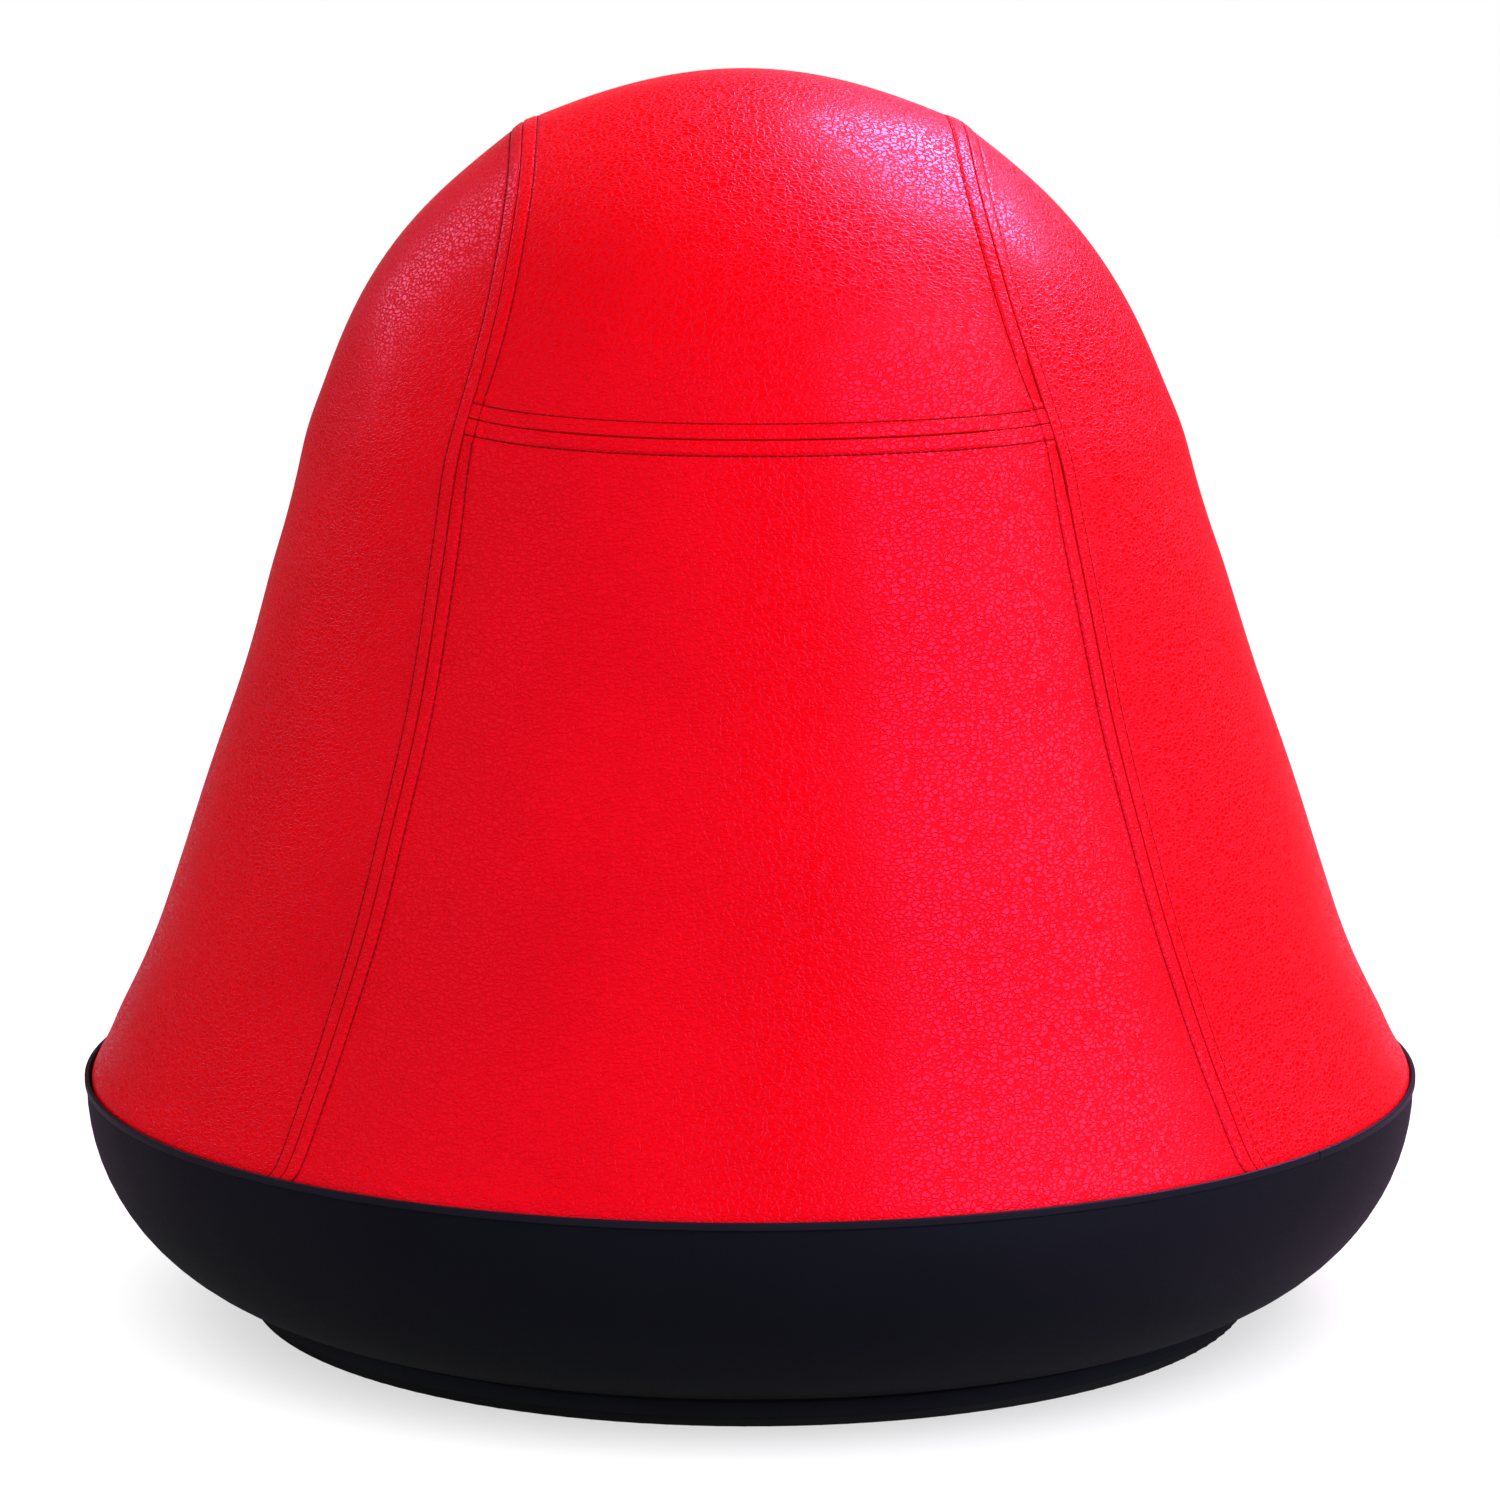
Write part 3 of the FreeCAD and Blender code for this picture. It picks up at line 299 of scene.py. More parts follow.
@dataclass(frozen=True)
class Finish:
    """A material: what it is, its colours, its gloss and the relief that its making left.

    Attributes:
        name: Common name and making.
        colour: Main colour, sRGB hex.
        shade: Colour of the stains and, on leatherette, of the shade painted into creases and folds,
            sRGB hex.
        relief: How the surface was made.
        grain: Width of one grain of the relief, in metres.
        depth: Height of the relief, in metres.
        roughness: Lowest and highest roughness.
        specular: Specular level at the shader.
        metallic: One for bare metal.
        tint: Colour of the gloss, sRGB hex.
        stain_width: Width of the faint clouds in the colour, in metres.
        stain_range: Noise at which the clouds begin and are full.
        stain_share: Share of the shade colour in a full cloud.
    """

    name: str
    colour: str
    shade: str
    relief: Relief
    grain: float
    depth: float
    roughness: tuple[float, float]
    specular: float = 0.5
    metallic: float = 0.0
    tint: str = "#ffffff"
    stain_width: float = 60 * MM
    stain_range: tuple[float, float] = (0.35, 0.75)
    stain_share: float = 0.35

    def make(self) -> bpy.types.Material:
        """Builds the material's nodes.

        Returns:
            The new material.
        """
        material = bpy.data.materials.new(self.name)
        material.use_nodes = True
        tree = material.node_tree
        place = add_node(tree, "ShaderNodeTexCoord").outputs["Object"]
        height = self.height(tree, place)
        stain = add_node(tree, "ShaderNodeTexNoise", {
            "Vector": place, "Scale": 1 / self.stain_width, "Detail": 4.0})
        colour = add_node(tree, "ShaderNodeMix", {
            "Factor": self.shaded_share(tree, stain, height),
            "A": srgb(self.colour), "B": srgb(self.shade)}, data_type="RGBA")
        gloss = add_node(tree, "ShaderNodeMapRange", {
            "Value": height, "To Min": self.roughness[1], "To Max": self.roughness[0]})
        bump = add_node(tree, "ShaderNodeBump", {
            "Height": height, "Distance": self.depth, "Strength": 1.0})
        shader = tree.nodes["Principled BSDF"]
        feed(shader, {"Base Color": colour, "Roughness": gloss, "Normal": bump,
                      "Metallic": self.metallic})
        if not self.metallic:
            feed(shader, {"Specular IOR Level": self.specular, "Specular Tint": srgb(self.tint)})
        return material

    def shaded_share(self, tree: bpy.types.NodeTree, stain: Signal, height: Signal) -> Signal:
        """Share of the shade colour: faint clouds over the whole surface.

        Args:
            tree: The material's tree.
            stain: Cloudy noise.
            height: Relief of the surface.

        Returns:
            The share.
        """
        return add_node(tree, "ShaderNodeMapRange", {
            "Value": stain, "From Min": self.stain_range[0], "From Max": self.stain_range[1],
            "To Max": self.stain_share})

    def height(self, tree: bpy.types.NodeTree, place: Signal) -> Signal:
        """Relief of the surface, from 0 in its hollows to 1 on its heights.

        Args:
            tree: The material's tree.
            place: Object coordinates, in metres.

        Returns:
            The height.
        """
        scale = 1 / self.grain
        if self.relief in CELLS:
            return self.cells(tree, place, CELLS[self.relief])
        if self.relief is Relief.TURNED:
            level = add_node(tree, "ShaderNodeVectorMath", {0: place, 1: (1, 1, 0)},
                             operation="MULTIPLY")
            radius = add_node(tree, "ShaderNodeVectorMath", {0: level}, operation="LENGTH")
            return add_node(tree, "ShaderNodeTexNoise", {
                "W": radius, "Scale": scale, "Detail": 3.0}, noise_dimensions="1D")
        if self.relief is Relief.TWISTED:
            turned = add_node(tree, "ShaderNodeMapping", {
                "Vector": place, "Rotation": (0.5, 0.4, 0.6)})
            wave = add_node(tree, "ShaderNodeTexWave", {
                "Vector": turned, "Scale": scale / WAVES_PER_SCALE, "Distortion": 1.5})
            return wave.outputs["Fac"]
        detail = 6.0 if self.relief is Relief.SPARK_ERODED else 2.0
        return add_node(tree, "ShaderNodeTexNoise", {
            "Vector": place, "Scale": scale, "Detail": detail, "Roughness": 0.6})

    def cells(self, tree: bpy.types.NodeTree, place: Signal, pattern: CellPattern) -> Signal:
        """Relief of uneven cells.

        Args:
            tree: The material's tree.
            place: Object coordinates, in metres.
            pattern: The cells.

        Returns:
            The height.
        """
        scale = 1 / self.grain
        drawn = add_node(tree, "ShaderNodeMapping", {
            "Vector": place, "Scale": (1, 1, pattern.squash)})
        sway = add_node(tree, "ShaderNodeTexNoise", {
            "Vector": drawn, "Scale": scale * pattern.sway_scale, "Detail": 2.0})
        moved = add_node(tree, "ShaderNodeVectorMath", {
            0: sway.outputs["Color"], 1: (self.grain * pattern.sway,) * 3, 2: drawn},
            operation="MULTIPLY_ADD")
        cells = add_node(tree, "ShaderNodeTexVoronoi", {"Vector": moved, "Scale": scale},
                         feature=pattern.feature)
        return add_node(tree, "ShaderNodeMapRange", {
            "Value": cells, "From Min": pattern.hollow, "From Max": pattern.crest},
            interpolation_type="SMOOTHSTEP")


@dataclass(frozen=True)
class Leatherette(Finish):
    """Coated cloth with an embossed grain, with shade painted into the folds of its seams and the
    creases of its grain.

    Attributes:
        painted_crease_share: Share of the shade colour at the bottom of a crease: painted shade.
        painted_crease_end: Height at which a crease's painted shade ends.
    """

    stain_share: float = 0.12
    painted_crease_share: float = 0.14
    painted_crease_end: float = 0.5

    def shaded_share(self, tree: bpy.types.NodeTree, stain: Signal, height: Signal) -> Signal:
        """Share of the shade colour: painted shade, strong in the seams' folds and less in the
        grain's creases, over faint stain clouds.

        Args:
            tree: The material's tree.
            stain: Cloudy noise.
            height: Relief of the surface.

        Returns:
            The share.
        """
        clouds = super().shaded_share(tree, stain, height)
        # Painted shade in the grain's creases.
        crease = add_node(tree, "ShaderNodeMapRange", {
            "Value": height, "From Max": self.painted_crease_end, "To Min": self.painted_crease_share, "To Max": 0.0})
        clouds_and_painted_crease_shade = add_node(tree, "ShaderNodeMath", {0: crease, 1: clouds}, operation="ADD")
        # Painted shade in the seams' folds, read from the panels' attribute.
        fold = add_node(tree, "ShaderNodeAttribute", attribute_name=PAINTED_FOLD_SHADE)
        return add_node(tree, "ShaderNodeMath", {0: fold.outputs["Fac"], 1: clouds_and_painted_crease_shade},
                        operation="MAXIMUM")


# Coated cloth, embossed with a fine pebble grain: a saturated skin with a soft, broken sheen. Its
# shade colour marks faint stains, and is painted as shade into the grain's creases and the seams'
# folds.
COVER = Leatherette("leatherette_embossed", "#ee0006", "#7d0007", Relief.EMBOSSED,
                    2.7 * MM, 0.15 * MM, (0.24, 0.75), specular=0.29, tint="#ff70d0")
# Bonded polyester thread: dull, with the lines of its twist, drawn coarse to show at all.
THREAD = Finish("polyester_thread_twisted", "#7e040a", "#540207", Relief.TWISTED,
                0.5 * MM, 0.05 * MM, (0.6, 0.8), specular=0.05)
# Polyether foam, cut from block: pale, dull, full of small open cells.
FOAM = Finish("polyether_foam_cut", "#d9d2b8", "#b9ae8c", Relief.OPEN_CELL,
              1.2 * MM, 0.5 * MM, (0.9, 1.0), specular=0.2)
# Soft vinyl, cast in a turning mould: smooth and waxy, with hardly any grain.
VINYL = Finish("vinyl_rotation_moulded", "#8f959b", "#7b8188", Relief.SMOOTH_MOULDED,
               4 * MM, 0.05 * MM, (0.35, 0.5))
# Polypropylene from a spark-eroded mould: near black and matt, with a fine even grit.
MOULDED = Finish("polypropylene_spark_eroded", "#0a0b0e", "#111217", Relief.SPARK_ERODED,
                 0.9 * MM, 0.04 * MM, (0.5, 0.7), specular=0.2, tint="#c4ccff")
# Polypropylene foot, moulded: duller than the bowl, and a shade lighter as painted light where the
# bowl's overhang shades it.
FOOT_PAINTED_LIGHTER = Finish("polypropylene_moulded", "#1a1b20", "#232429", Relief.SPARK_ERODED,
                      0.9 * MM, 0.04 * MM, (0.5, 0.7), specular=0.06, tint="#c4ccff")
# Soft vinyl edging, extruded: smoother than the bowl, with a narrow gloss on its round.
EDGING = Finish("soft_vinyl_extruded", "#1b1a22", "#24222b", Relief.SMOOTH_MOULDED,
                2 * MM, 0.03 * MM, (0.32, 0.45), specular=0.06, tint="#c4ccff")
# Natural rubber, compression moulded: dull, slightly bloomed black.
RUBBER = Finish("rubber_compression_moulded", "#0d0d0e", "#1f1f20", Relief.SPARK_ERODED,
                1.4 * MM, 0.06 * MM, (0.6, 0.8), specular=0.25)
# Bright zinc-plated steel, turned or pressed: fine rings round the axis.
STEEL = Finish("zinc_plated_steel_turned", "#b9bcc0", "#8e9298", Relief.TURNED,
               0.8 * MM, 0.02 * MM, (0.22, 0.4), metallic=1.0)
# Hardened ball steel, lapped: a clean mirror.
BALL_STEEL = Finish("bearing_steel_lapped", "#c8cacd", "#b4b7bb", Relief.SMOOTH_MOULDED,
                    6 * MM, 0.002 * MM, (0.08, 0.14), metallic=1.0)
# Nylon, moulded: milky and slightly waxy.
NYLON = Finish("nylon_moulded", "#e4e1d6", "#cfcabb", Relief.SMOOTH_MOULDED,
               3 * MM, 0.03 * MM, (0.35, 0.5))
# Acetal, turned from rod: white, dense and slick.
ACETAL = Finish("acetal_turned", "#ecebe6", "#dcd9d0", Relief.TURNED,
                0.5 * MM, 0.01 * MM, (0.3, 0.42))


@dataclass(frozen=True)
class BellShape:
    """Outside of the cover, turned about the axis: dome, straight side, flare, hem roll, tuck."""

    top: float
    hem_radius: float
    hem_height: float
    hem_end: float
    dome_radius: float = 180 * MM
    flare_radius: float = 250 * MM
    roll_radius: float = 12 * MM
    flare_angle: float = math.radians(33.94)
    tuck_angle: float = math.radians(40)
    line_points: int = 4000

    @cached_property
    def dome_height(self) -> float:
        """Height of the dome's middle."""
        return self.top - self.dome_radius

    @cached_property
    def roll_ring(self) -> float:
        """Radius of the ring through the middle of the hem roll."""
        return self.hem_radius - self.roll_radius

    @cached_property
    def flare_middle(self) -> tuple[float, float]:
        """Radius and height of the middle of the flare's round."""
        reach = self.flare_radius + self.roll_radius
        return (self.roll_ring + reach * math.cos(self.flare_angle),
                self.hem_height + reach * math.sin(self.flare_angle))

    @cached_property
    def side_angle(self) -> float:
        """Slope of the straight side from upright, which touches both the dome and the flare."""
        across, drop = self.flare_middle[0], self.dome_height - self.flare_middle[1]
        reach = (self.dome_radius + self.flare_radius) / math.hypot(across, drop)
        return math.acos(reach) - math.atan2(drop, across)

    @cached_property
    def joints(self) -> tuple[float, float, float, float]:
        """Heights where dome, side, flare, roll and tuck meet, from the top down."""
        rise = math.sin(self.side_angle)
        return (self.dome_height + self.dome_radius * rise,
                self.flare_middle[1] - self.flare_radius * rise,
                self.hem_height + self.roll_radius * math.sin(self.flare_angle),
                self.hem_height - self.roll_radius * math.sin(self.tuck_angle))

    def radius(self, height: np.ndarray) -> np.ndarray:
        """Works out the radius of the cover.

        Args:
            height: Heights on it.

        Returns:
            The radius at each height.
        """
        z = np.asarray(height, float)
        ring, middle = self.flare_middle
        dome, flare, roll = (
            np.sqrt(np.maximum(bend ** 2 - (z - centre) ** 2, 0))
            for bend, centre in ((self.dome_radius, self.dome_height),
                                 (self.flare_radius, middle), (self.roll_radius, self.hem_height)))
        side = (self.dome_radius * math.cos(self.side_angle)
                + (self.joints[0] - z) * math.tan(self.side_angle))
        tuck = (self.roll_ring + self.roll_radius * math.cos(self.tuck_angle)
                - (self.joints[3] - z) * math.tan(self.tuck_angle))
        return np.select([z >= joint for joint in self.joints],
                         [dome, side, ring - flare, self.roll_ring + roll], tuck)

    def normals(self, points: np.ndarray) -> np.ndarray:
        """Works out the outward normals of the cover.

        Args:
            points: Points on it.

        Returns:
            The normal at each point.
        """
        z = points[..., 2]
        dome, flare, roll = (
            np.arcsin(np.clip(rise / bend, -1, 1))
            for rise, bend in ((z - self.dome_height, self.dome_radius),
                               (self.flare_middle[1] - z, self.flare_radius),
                               (z - self.hem_height, self.roll_radius)))
        slope = np.select([z >= joint for joint in self.joints],
                          [dome, np.full_like(z, self.side_angle), flare, roll], -self.tuck_angle)
        around = np.arctan2(points[..., 1], points[..., 0])
        level = np.cos(slope)
        return np.stack([level * np.cos(around), level * np.sin(around), np.sin(slope)], -1)

    def measured_line(self, low: float, high: float) -> tuple[np.ndarray, np.ndarray]:
        """Measures the cover's line between two heights.

        Args:
            low: Height of its start.
            high: Height of its end.

        Returns:
            Close heights along it, and the distance to each from the start.
        """
        z = np.linspace(low, high, self.line_points)
        steps = np.hypot(np.diff(z), np.diff(self.radius(z)))
        return z, np.concatenate([[0], np.cumsum(steps)])

    def heights_along(self, low: float, high: float, distances: np.ndarray) -> np.ndarray:
        """Heights at distances along the cover's line, measured up from a low height."""
        z, lengths = self.measured_line(low, high)
        return np.interp(distances, lengths, z)

    def line_length(self, low: float, high: float) -> float:
        """Length of the cover's line between two heights."""
        return float(self.measured_line(low, high)[1][-1])


@dataclass(frozen=True)
class SeamLine:
    """Long seam from the front: upright over the crown, bent at the shoulder, flared below."""

    bend_height: float
    flare_height: float
    hem_height: float
    hem_draw: float = 3.2 * MM
    hem_reach: float = 75 * MM
    half_width: float = 88.5 * MM
    crown_draw: float = 1.2 * MM
    crown_drops: tuple[float, float] = (115 * MM, 63 * MM)
    shoulder_spread: float = 2.4 * MM
    shoulder_drop: float = 140 * MM
    shoulder_reach: float = 50 * MM
    bend_radius: float = 262 * MM
    slope: float = math.radians(12.8)
    flare_radius: float = 473 * MM

    def distance(self, height: np.ndarray) -> np.ndarray:
        """Works out how far the seam lies from the middle line.

        Args:
            height: Heights on the seam.

        Returns:
            The distance at each height.
        """
        z = np.asarray(height, float)
        steep = math.tan(self.slope)
        bend_low = self.bend_height - self.bend_radius * math.sin(self.slope)
        bend_end = self.half_width + self.bend_radius * (1 - math.cos(self.slope))
        bend = (self.half_width + self.bend_radius
                - np.sqrt(np.maximum(self.bend_radius ** 2 - (self.bend_height - z) ** 2, 0)))
        straight = bend_end + (bend_low - z) * steep
        flare_start = bend_end + (bend_low - self.flare_height) * steep
        centre = self.flare_height + self.flare_radius * math.sin(self.slope)
        flare = (flare_start + self.flare_radius * math.cos(self.slope)
                 - np.sqrt(np.maximum(self.flare_radius ** 2 - (centre - z) ** 2, 0)))
        hem = Ramp(self.hem_height, self.hem_height + self.hem_reach)
        crown = Ramp(*(self.bend_height - drop for drop in self.crown_drops))
        shoulder = Hump(self.bend_height - self.shoulder_drop, self.shoulder_reach,
                        self.shoulder_spread)
        drawn_in = (self.hem_draw * (1 - hem.at(z)) + self.crown_draw * crown.at(z)
                    - shoulder.at(z))
        return np.select([z >= self.bend_height, z >= bend_low, z >= self.flare_height],
                         [np.full_like(z, self.half_width), bend, straight], flare) - drawn_in


@dataclass
class PanelGrid:
    """One panel of the cover as rows of points.

    Attributes:
        points: Places on the smooth bell.
        normals: Outward normals of the bell there.
        seam: Distance from the nearest long seam.
        cross: Distance from the nearest cross seam.
    """

    points: np.ndarray
    normals: np.ndarray
    seam: np.ndarray
    cross: np.ndarray


class PanelSide(Enum):
    """Which way a panel of the cover faces."""

    FRONT = "front"
    BACK = "back"
    TOP = "top"
    RIGHT = "right"
    LEFT = "left"


@dataclass
class Spacing:
    """Places of grid lines across a strip: close together by its edges and even between them.

    Attributes:
        near: Distances of the close lines from an edge.
        count: Even steps between the close lines.
        first: True where the strip's start is a sewn edge.
        last: True where the strip's end is a sewn edge.
    """

    near: np.ndarray
    count: int
    first: bool = True
    last: bool = True

    def places(self, lengths: np.ndarray,
               squeeze: np.ndarray | float = 1.0) -> tuple[np.ndarray, np.ndarray]:
        """Works out the lines for strips of several lengths.

        Args:
            lengths: Length of each strip.
            squeeze: Share by which the close lines move towards the edge, for each strip.

        Returns:
            Distance of each line from the strip's start, and its nominal distance from the
            nearest sewn edge.
        """
        lengths = np.asarray(lengths, float)[:, None]
        squeeze = np.broadcast_to(np.asarray(squeeze, float), lengths[:, 0].shape)
        close = self.near[None, :] * squeeze[:, None]
        start = close if self.first else np.zeros_like(lengths)
        end = lengths - close[:, ::-1] if self.last else lengths
        share = np.linspace(0, 1, self.count + 1)[None, 1:-1]
        middle = start[:, -1:] + share * (end[:, :1] - start[:, -1:])
        places = np.concatenate([start, middle, end], 1)
        edge = np.full_like(places, np.inf)
        if self.first:
            edge = np.minimum(edge, places)
            edge[:, :len(self.near)] = self.near
        if self.last:
            edge = np.minimum(edge, lengths - places)
            edge[:, -len(self.near):] = self.near[::-1]
        return places, edge


@dataclass
class Cover:
    """The sewn bell: five panels with folded seams, their topstitching, the foam and the ball."""

    bell: BellShape
    seam: SeamLine
    cross_height: float
    stitch_offset: float = 6.3 * MM
    stitch_pitch: float = 3.5 * MM
    stitch_length: float = 4.4 * MM
    stitch_margin: int = 5
    thread_radius: float = 0.34 * MM
    fold_depth: float = 1.1 * MM
    fold_width: float = 0.8 * MM
    # Painted shade: its share at the bottom of a seam's fold, and the distances over which it fades.
    painted_fold_shade: float = 0.65
    painted_fold_shade_edge: Ramp = Ramp(0.1 * MM, 0.5 * MM)
    allowance_rise: float = 0.7 * MM
    allowance_edge: Ramp = Ramp(5.0 * MM, 8.5 * MM)
    pinch_depth: float = 0.5 * MM
    pinch_width: float = 0.8 * MM
    squeeze_share: float = 0.22
    squeeze_reach: float = 22 * MM
    crown: Ramp = Ramp(395 * MM, 486 * MM)
    crown_fold: float = 0.6
    crown_thinning: float = 0.5
    ridge_low: float = 0.4 * MM
    ridge_rise: float = 2.3 * MM
    ridge_reach: float = 15 * MM
    pucker_rise: float = 1.1 * MM
    pucker_seam: Hump = Hump(8.5 * MM, 2 * MM)
    pucker_cross: Hump = Hump(9.5 * MM, 2 * MM)
    seam_tug: float = 4.5 * MM
    right_tug: float = 1.6 * MM
    tug_reach: float = 30 * MM
    crown_rise: float = 0.9 * MM
    crown_full: Ramp = Ramp(465 * MM, 495 * MM)
    shoulder: Hump = Hump(364 * MM, 18 * MM, 1.5 * MM)
    waist: Hump = Hump(268 * MM, 42 * MM, 2.2 * MM)
    hem_pinch: float = 0.9 * MM
    hem_drawn: Ramp = Ramp(0.0, 4.5 * MM)
    hem_freed: Ramp = Ramp(6 * MM, 27 * MM)
    lean_most: float = 5.0 * MM
    lean_hold: float = 0.3
    lean_across: Ramp = Ramp(100 * MM, 170 * MM)
    lean_up: Ramp = Ramp(250 * MM, 520 * MM)
    skin: float = 1.6 * MM
    swell_seed: int = 11
    swell_waves: int = 9
    swell_height: float = 0.12 * MM
    swell_lengths: tuple[float, float] = (70 * MM, 170 * MM)
    swell_phase: float = 6.28
    settle_grid: tuple[int, int] = (34, 24)
    settle_stiffness: float = 40
    settle_pressure: float = 4
    settle_frames: int = 20
    settle_limit: float = 1.2 * MM
    settle_inset: float = 0.4 * MM
    settle_blend: float = 16 * MM
    lining_inner: float = 7.8 * MM
    lining_outer: float = 2.9 * MM
    lining_grid: tuple[int, int] = (90, 96)
    ball_ring_depth: float = 0.4 * MM
    ball_ring_pitch: float = 14 * MM
    ball_pole: float = 40 * MM
    hem_run: float = 26 * MM
    hem_rows: int = 14
    steps_across: int = 44
    steps_up: int = 80
    steps_over: int = 110
    steps_out: int = 46
    steps_fan: int = 130
    dense_steps: int = 260
    halvings: int = 45
    edge_rounds: int = 12
    near: np.ndarray = field(default_factory=lambda: MM * np.array(
        [0, 0.2, 0.45, 0.75, 1.1, 1.6, 2.3, 3.2, 4.2, 5.0, 5.5, 5.9, 6.3, 6.7, 7.1, 7.6, 8.4, 9.6,
         11.5, 14]))

    @cached_property
    def stitch_line(self) -> int:
        """Number of the close grid line that the topstitching follows."""
        return int(np.argmin(np.abs(self.near - self.stitch_offset)))

    @cached_property
    def hem_places(self) -> np.ndarray:
        """Close rows over the hem roll, as distances up from the cut edge."""
        return np.linspace(0, self.hem_run, self.hem_rows)

    def panel_grid(self, dense: np.ndarray, across: Spacing, cross: np.ndarray,
                   squeezed: bool = True) -> PanelGrid:
        """Picks a panel's points off rows of close points.

        Args:
            dense: Rows of close points.
            across: Grid lines across the rows.
            cross: Distance of each row from the nearest cross seam.
            squeezed: True where the stitch rows close up on the long seam by the cross seam.

        Returns:
            The panel.
        """
        steps = np.linalg.norm(np.diff(dense, axis=1), axis=2)
        lengths = np.concatenate([np.zeros((len(dense), 1)), np.cumsum(steps, 1)], 1)
        bulk = Hump(self.cross_height, self.squeeze_reach, self.squeeze_share)
        squeeze = 1 - bulk.at(dense[:, self.dense_steps // 2, 2]) if squeezed else 1.0
        places, edge = across.places(lengths[:, -1], squeeze)
        points = np.array([np.stack([np.interp(place, length, axis) for axis in row.T], -1)
                           for place, length, row in zip(places, lengths, dense)])
        return PanelGrid(points, self.bell.normals(points), edge,
                         np.repeat(cross[:, None], points.shape[1], 1))

    def wall_grid(self, across: Spacing, up: Spacing, back: bool) -> PanelGrid:
        """Lays level rows between the long seams, from the cut edge up to the cross seam.

        Args:
            across: Grid lines across the panel.
            up: Grid lines up the panel, above the hem.
            back: True for the back panel.

        Returns:
            The panel.
        """
        low = self.bell.hem_end
        length = self.bell.line_length(low, self.cross_height)
        distances, cross = up.places([length - self.hem_run])
        distances = np.concatenate([self.hem_places[:-1], distances[0] + self.hem_run])
        cross = np.concatenate([np.full(self.hem_rows - 1, FAR), cross[0]])
        heights = self.bell.heights_along(low, self.cross_height, distances)[:, None]
        radius = self.bell.radius(heights)
        half = np.arcsin(self.seam.distance(heights) / radius)
        dense = ring_points(radius, half * np.linspace(-1, 1, self.dense_steps), heights)
        return self.panel_grid(dense * (-1, -1, 1) if back else dense, across, cross)

    def reach(self, turn: np.ndarray, across: np.ndarray | None = None) -> np.ndarray:
        """Finds how far the bell lies from the level line through the dome's middle.

        Args:
            turn: Turn about that line, from the front.
            across: Places along it, or None to stay on the long seam.

        Returns:
            The distance for each turn.
        """
        low, high = np.zeros_like(turn), np.full_like(turn, 2 * self.bell.hem_radius)
        for _ in range(self.halvings):
            middle = (low + high) / 2
            z = self.bell.dome_height + middle * np.sin(turn)
            side = self.seam.distance(z) if across is None else across
            inside = self.bell.radius(z) ** 2 > side ** 2 + (middle * np.cos(turn)) ** 2
            inside &= z < self.bell.top
            low, high = np.where(inside, middle, low), np.where(inside, high, middle)
        return low

    def crown_points(self, across: np.ndarray, run: Spacing) -> tuple[np.ndarray, np.ndarray]:
        """Lays points over the crown, from the front cross seam to the back one.

        Args:
            across: Distance from the middle line, for each row and column.
            run: Grid lines along the strip.

        Returns:
            The points, and each row's distance from the nearest cross seam.
        """
        radius = float(self.bell.radius(self.cross_height))
        start = np.arctan2(self.cross_height - self.bell.dome_height,
                           np.sqrt(radius ** 2 - across ** 2))
        arm = self.reach(np.full_like(across, math.pi / 2), across)
        length = arm * (math.pi - 2 * start)
        row = np.arange(len(across))
        places = np.stack([run.places(column)[0][row, row] for column in length.T], 1)
        turn = start + places / arm
        out = self.reach(turn, across)
        points = [across, -out * np.cos(turn), self.bell.dome_height + out * np.sin(turn)]
        return np.stack(points, -1), run.places(length[0])[1][0]

    def top_grid(self, across: Spacing, run: Spacing) -> PanelGrid:
        """Lays rows over the crown between the long seams, from one cross seam to the other.

        Args:
            across: Grid lines across the panel.
            run: Grid lines along it.

        Returns:
            The panel.
        """
        edge_at = np.full(run.places([1.0])[0].shape[1], self.seam.half_width)
        for _ in range(self.edge_rounds):
            ends, _ = self.crown_points(np.stack([-edge_at, edge_at], 1), run)
            edge_at = self.seam.distance(ends[:, 1, 2])
        dense_across = edge_at[:, None] * np.linspace(-1, 1, self.dense_steps)
        dense, cross = self.crown_points(dense_across, run)
        return self.panel_grid(dense, across, cross)

    def tugged(self, grid: PanelGrid) -> PanelGrid:
        """Draws the front cross seam up where it is sewn into the long seams.

        Args:
            grid: A panel beside that seam.

        Returns:
            The same panel, drawn up more on the left.
        """
        x, y, z = np.moveaxis(grid.points, -1, 0)
        half = self.seam.distance(z)
        pull = (self.seam_tug * np.exp(-np.maximum(half + x, 0) / self.tug_reach)
                + self.right_tug * np.exp(-np.maximum(half - x, 0) / self.tug_reach))
        lift = np.where(y < 0, pull, 0) * Hump(self.cross_height, self.tug_reach).at(z)
        across = x * self.seam.distance(z + lift) / half
        depth = np.sqrt(np.maximum(self.bell.radius(z + lift) ** 2 - across ** 2, 0))
        moved = np.stack([across, np.where(y < 0, -depth, depth), z + lift], -1)
        grid.points = np.where((lift > WELD_REACH)[..., None], moved, grid.points)
        grid.normals = self.bell.normals(grid.points)
        return grid

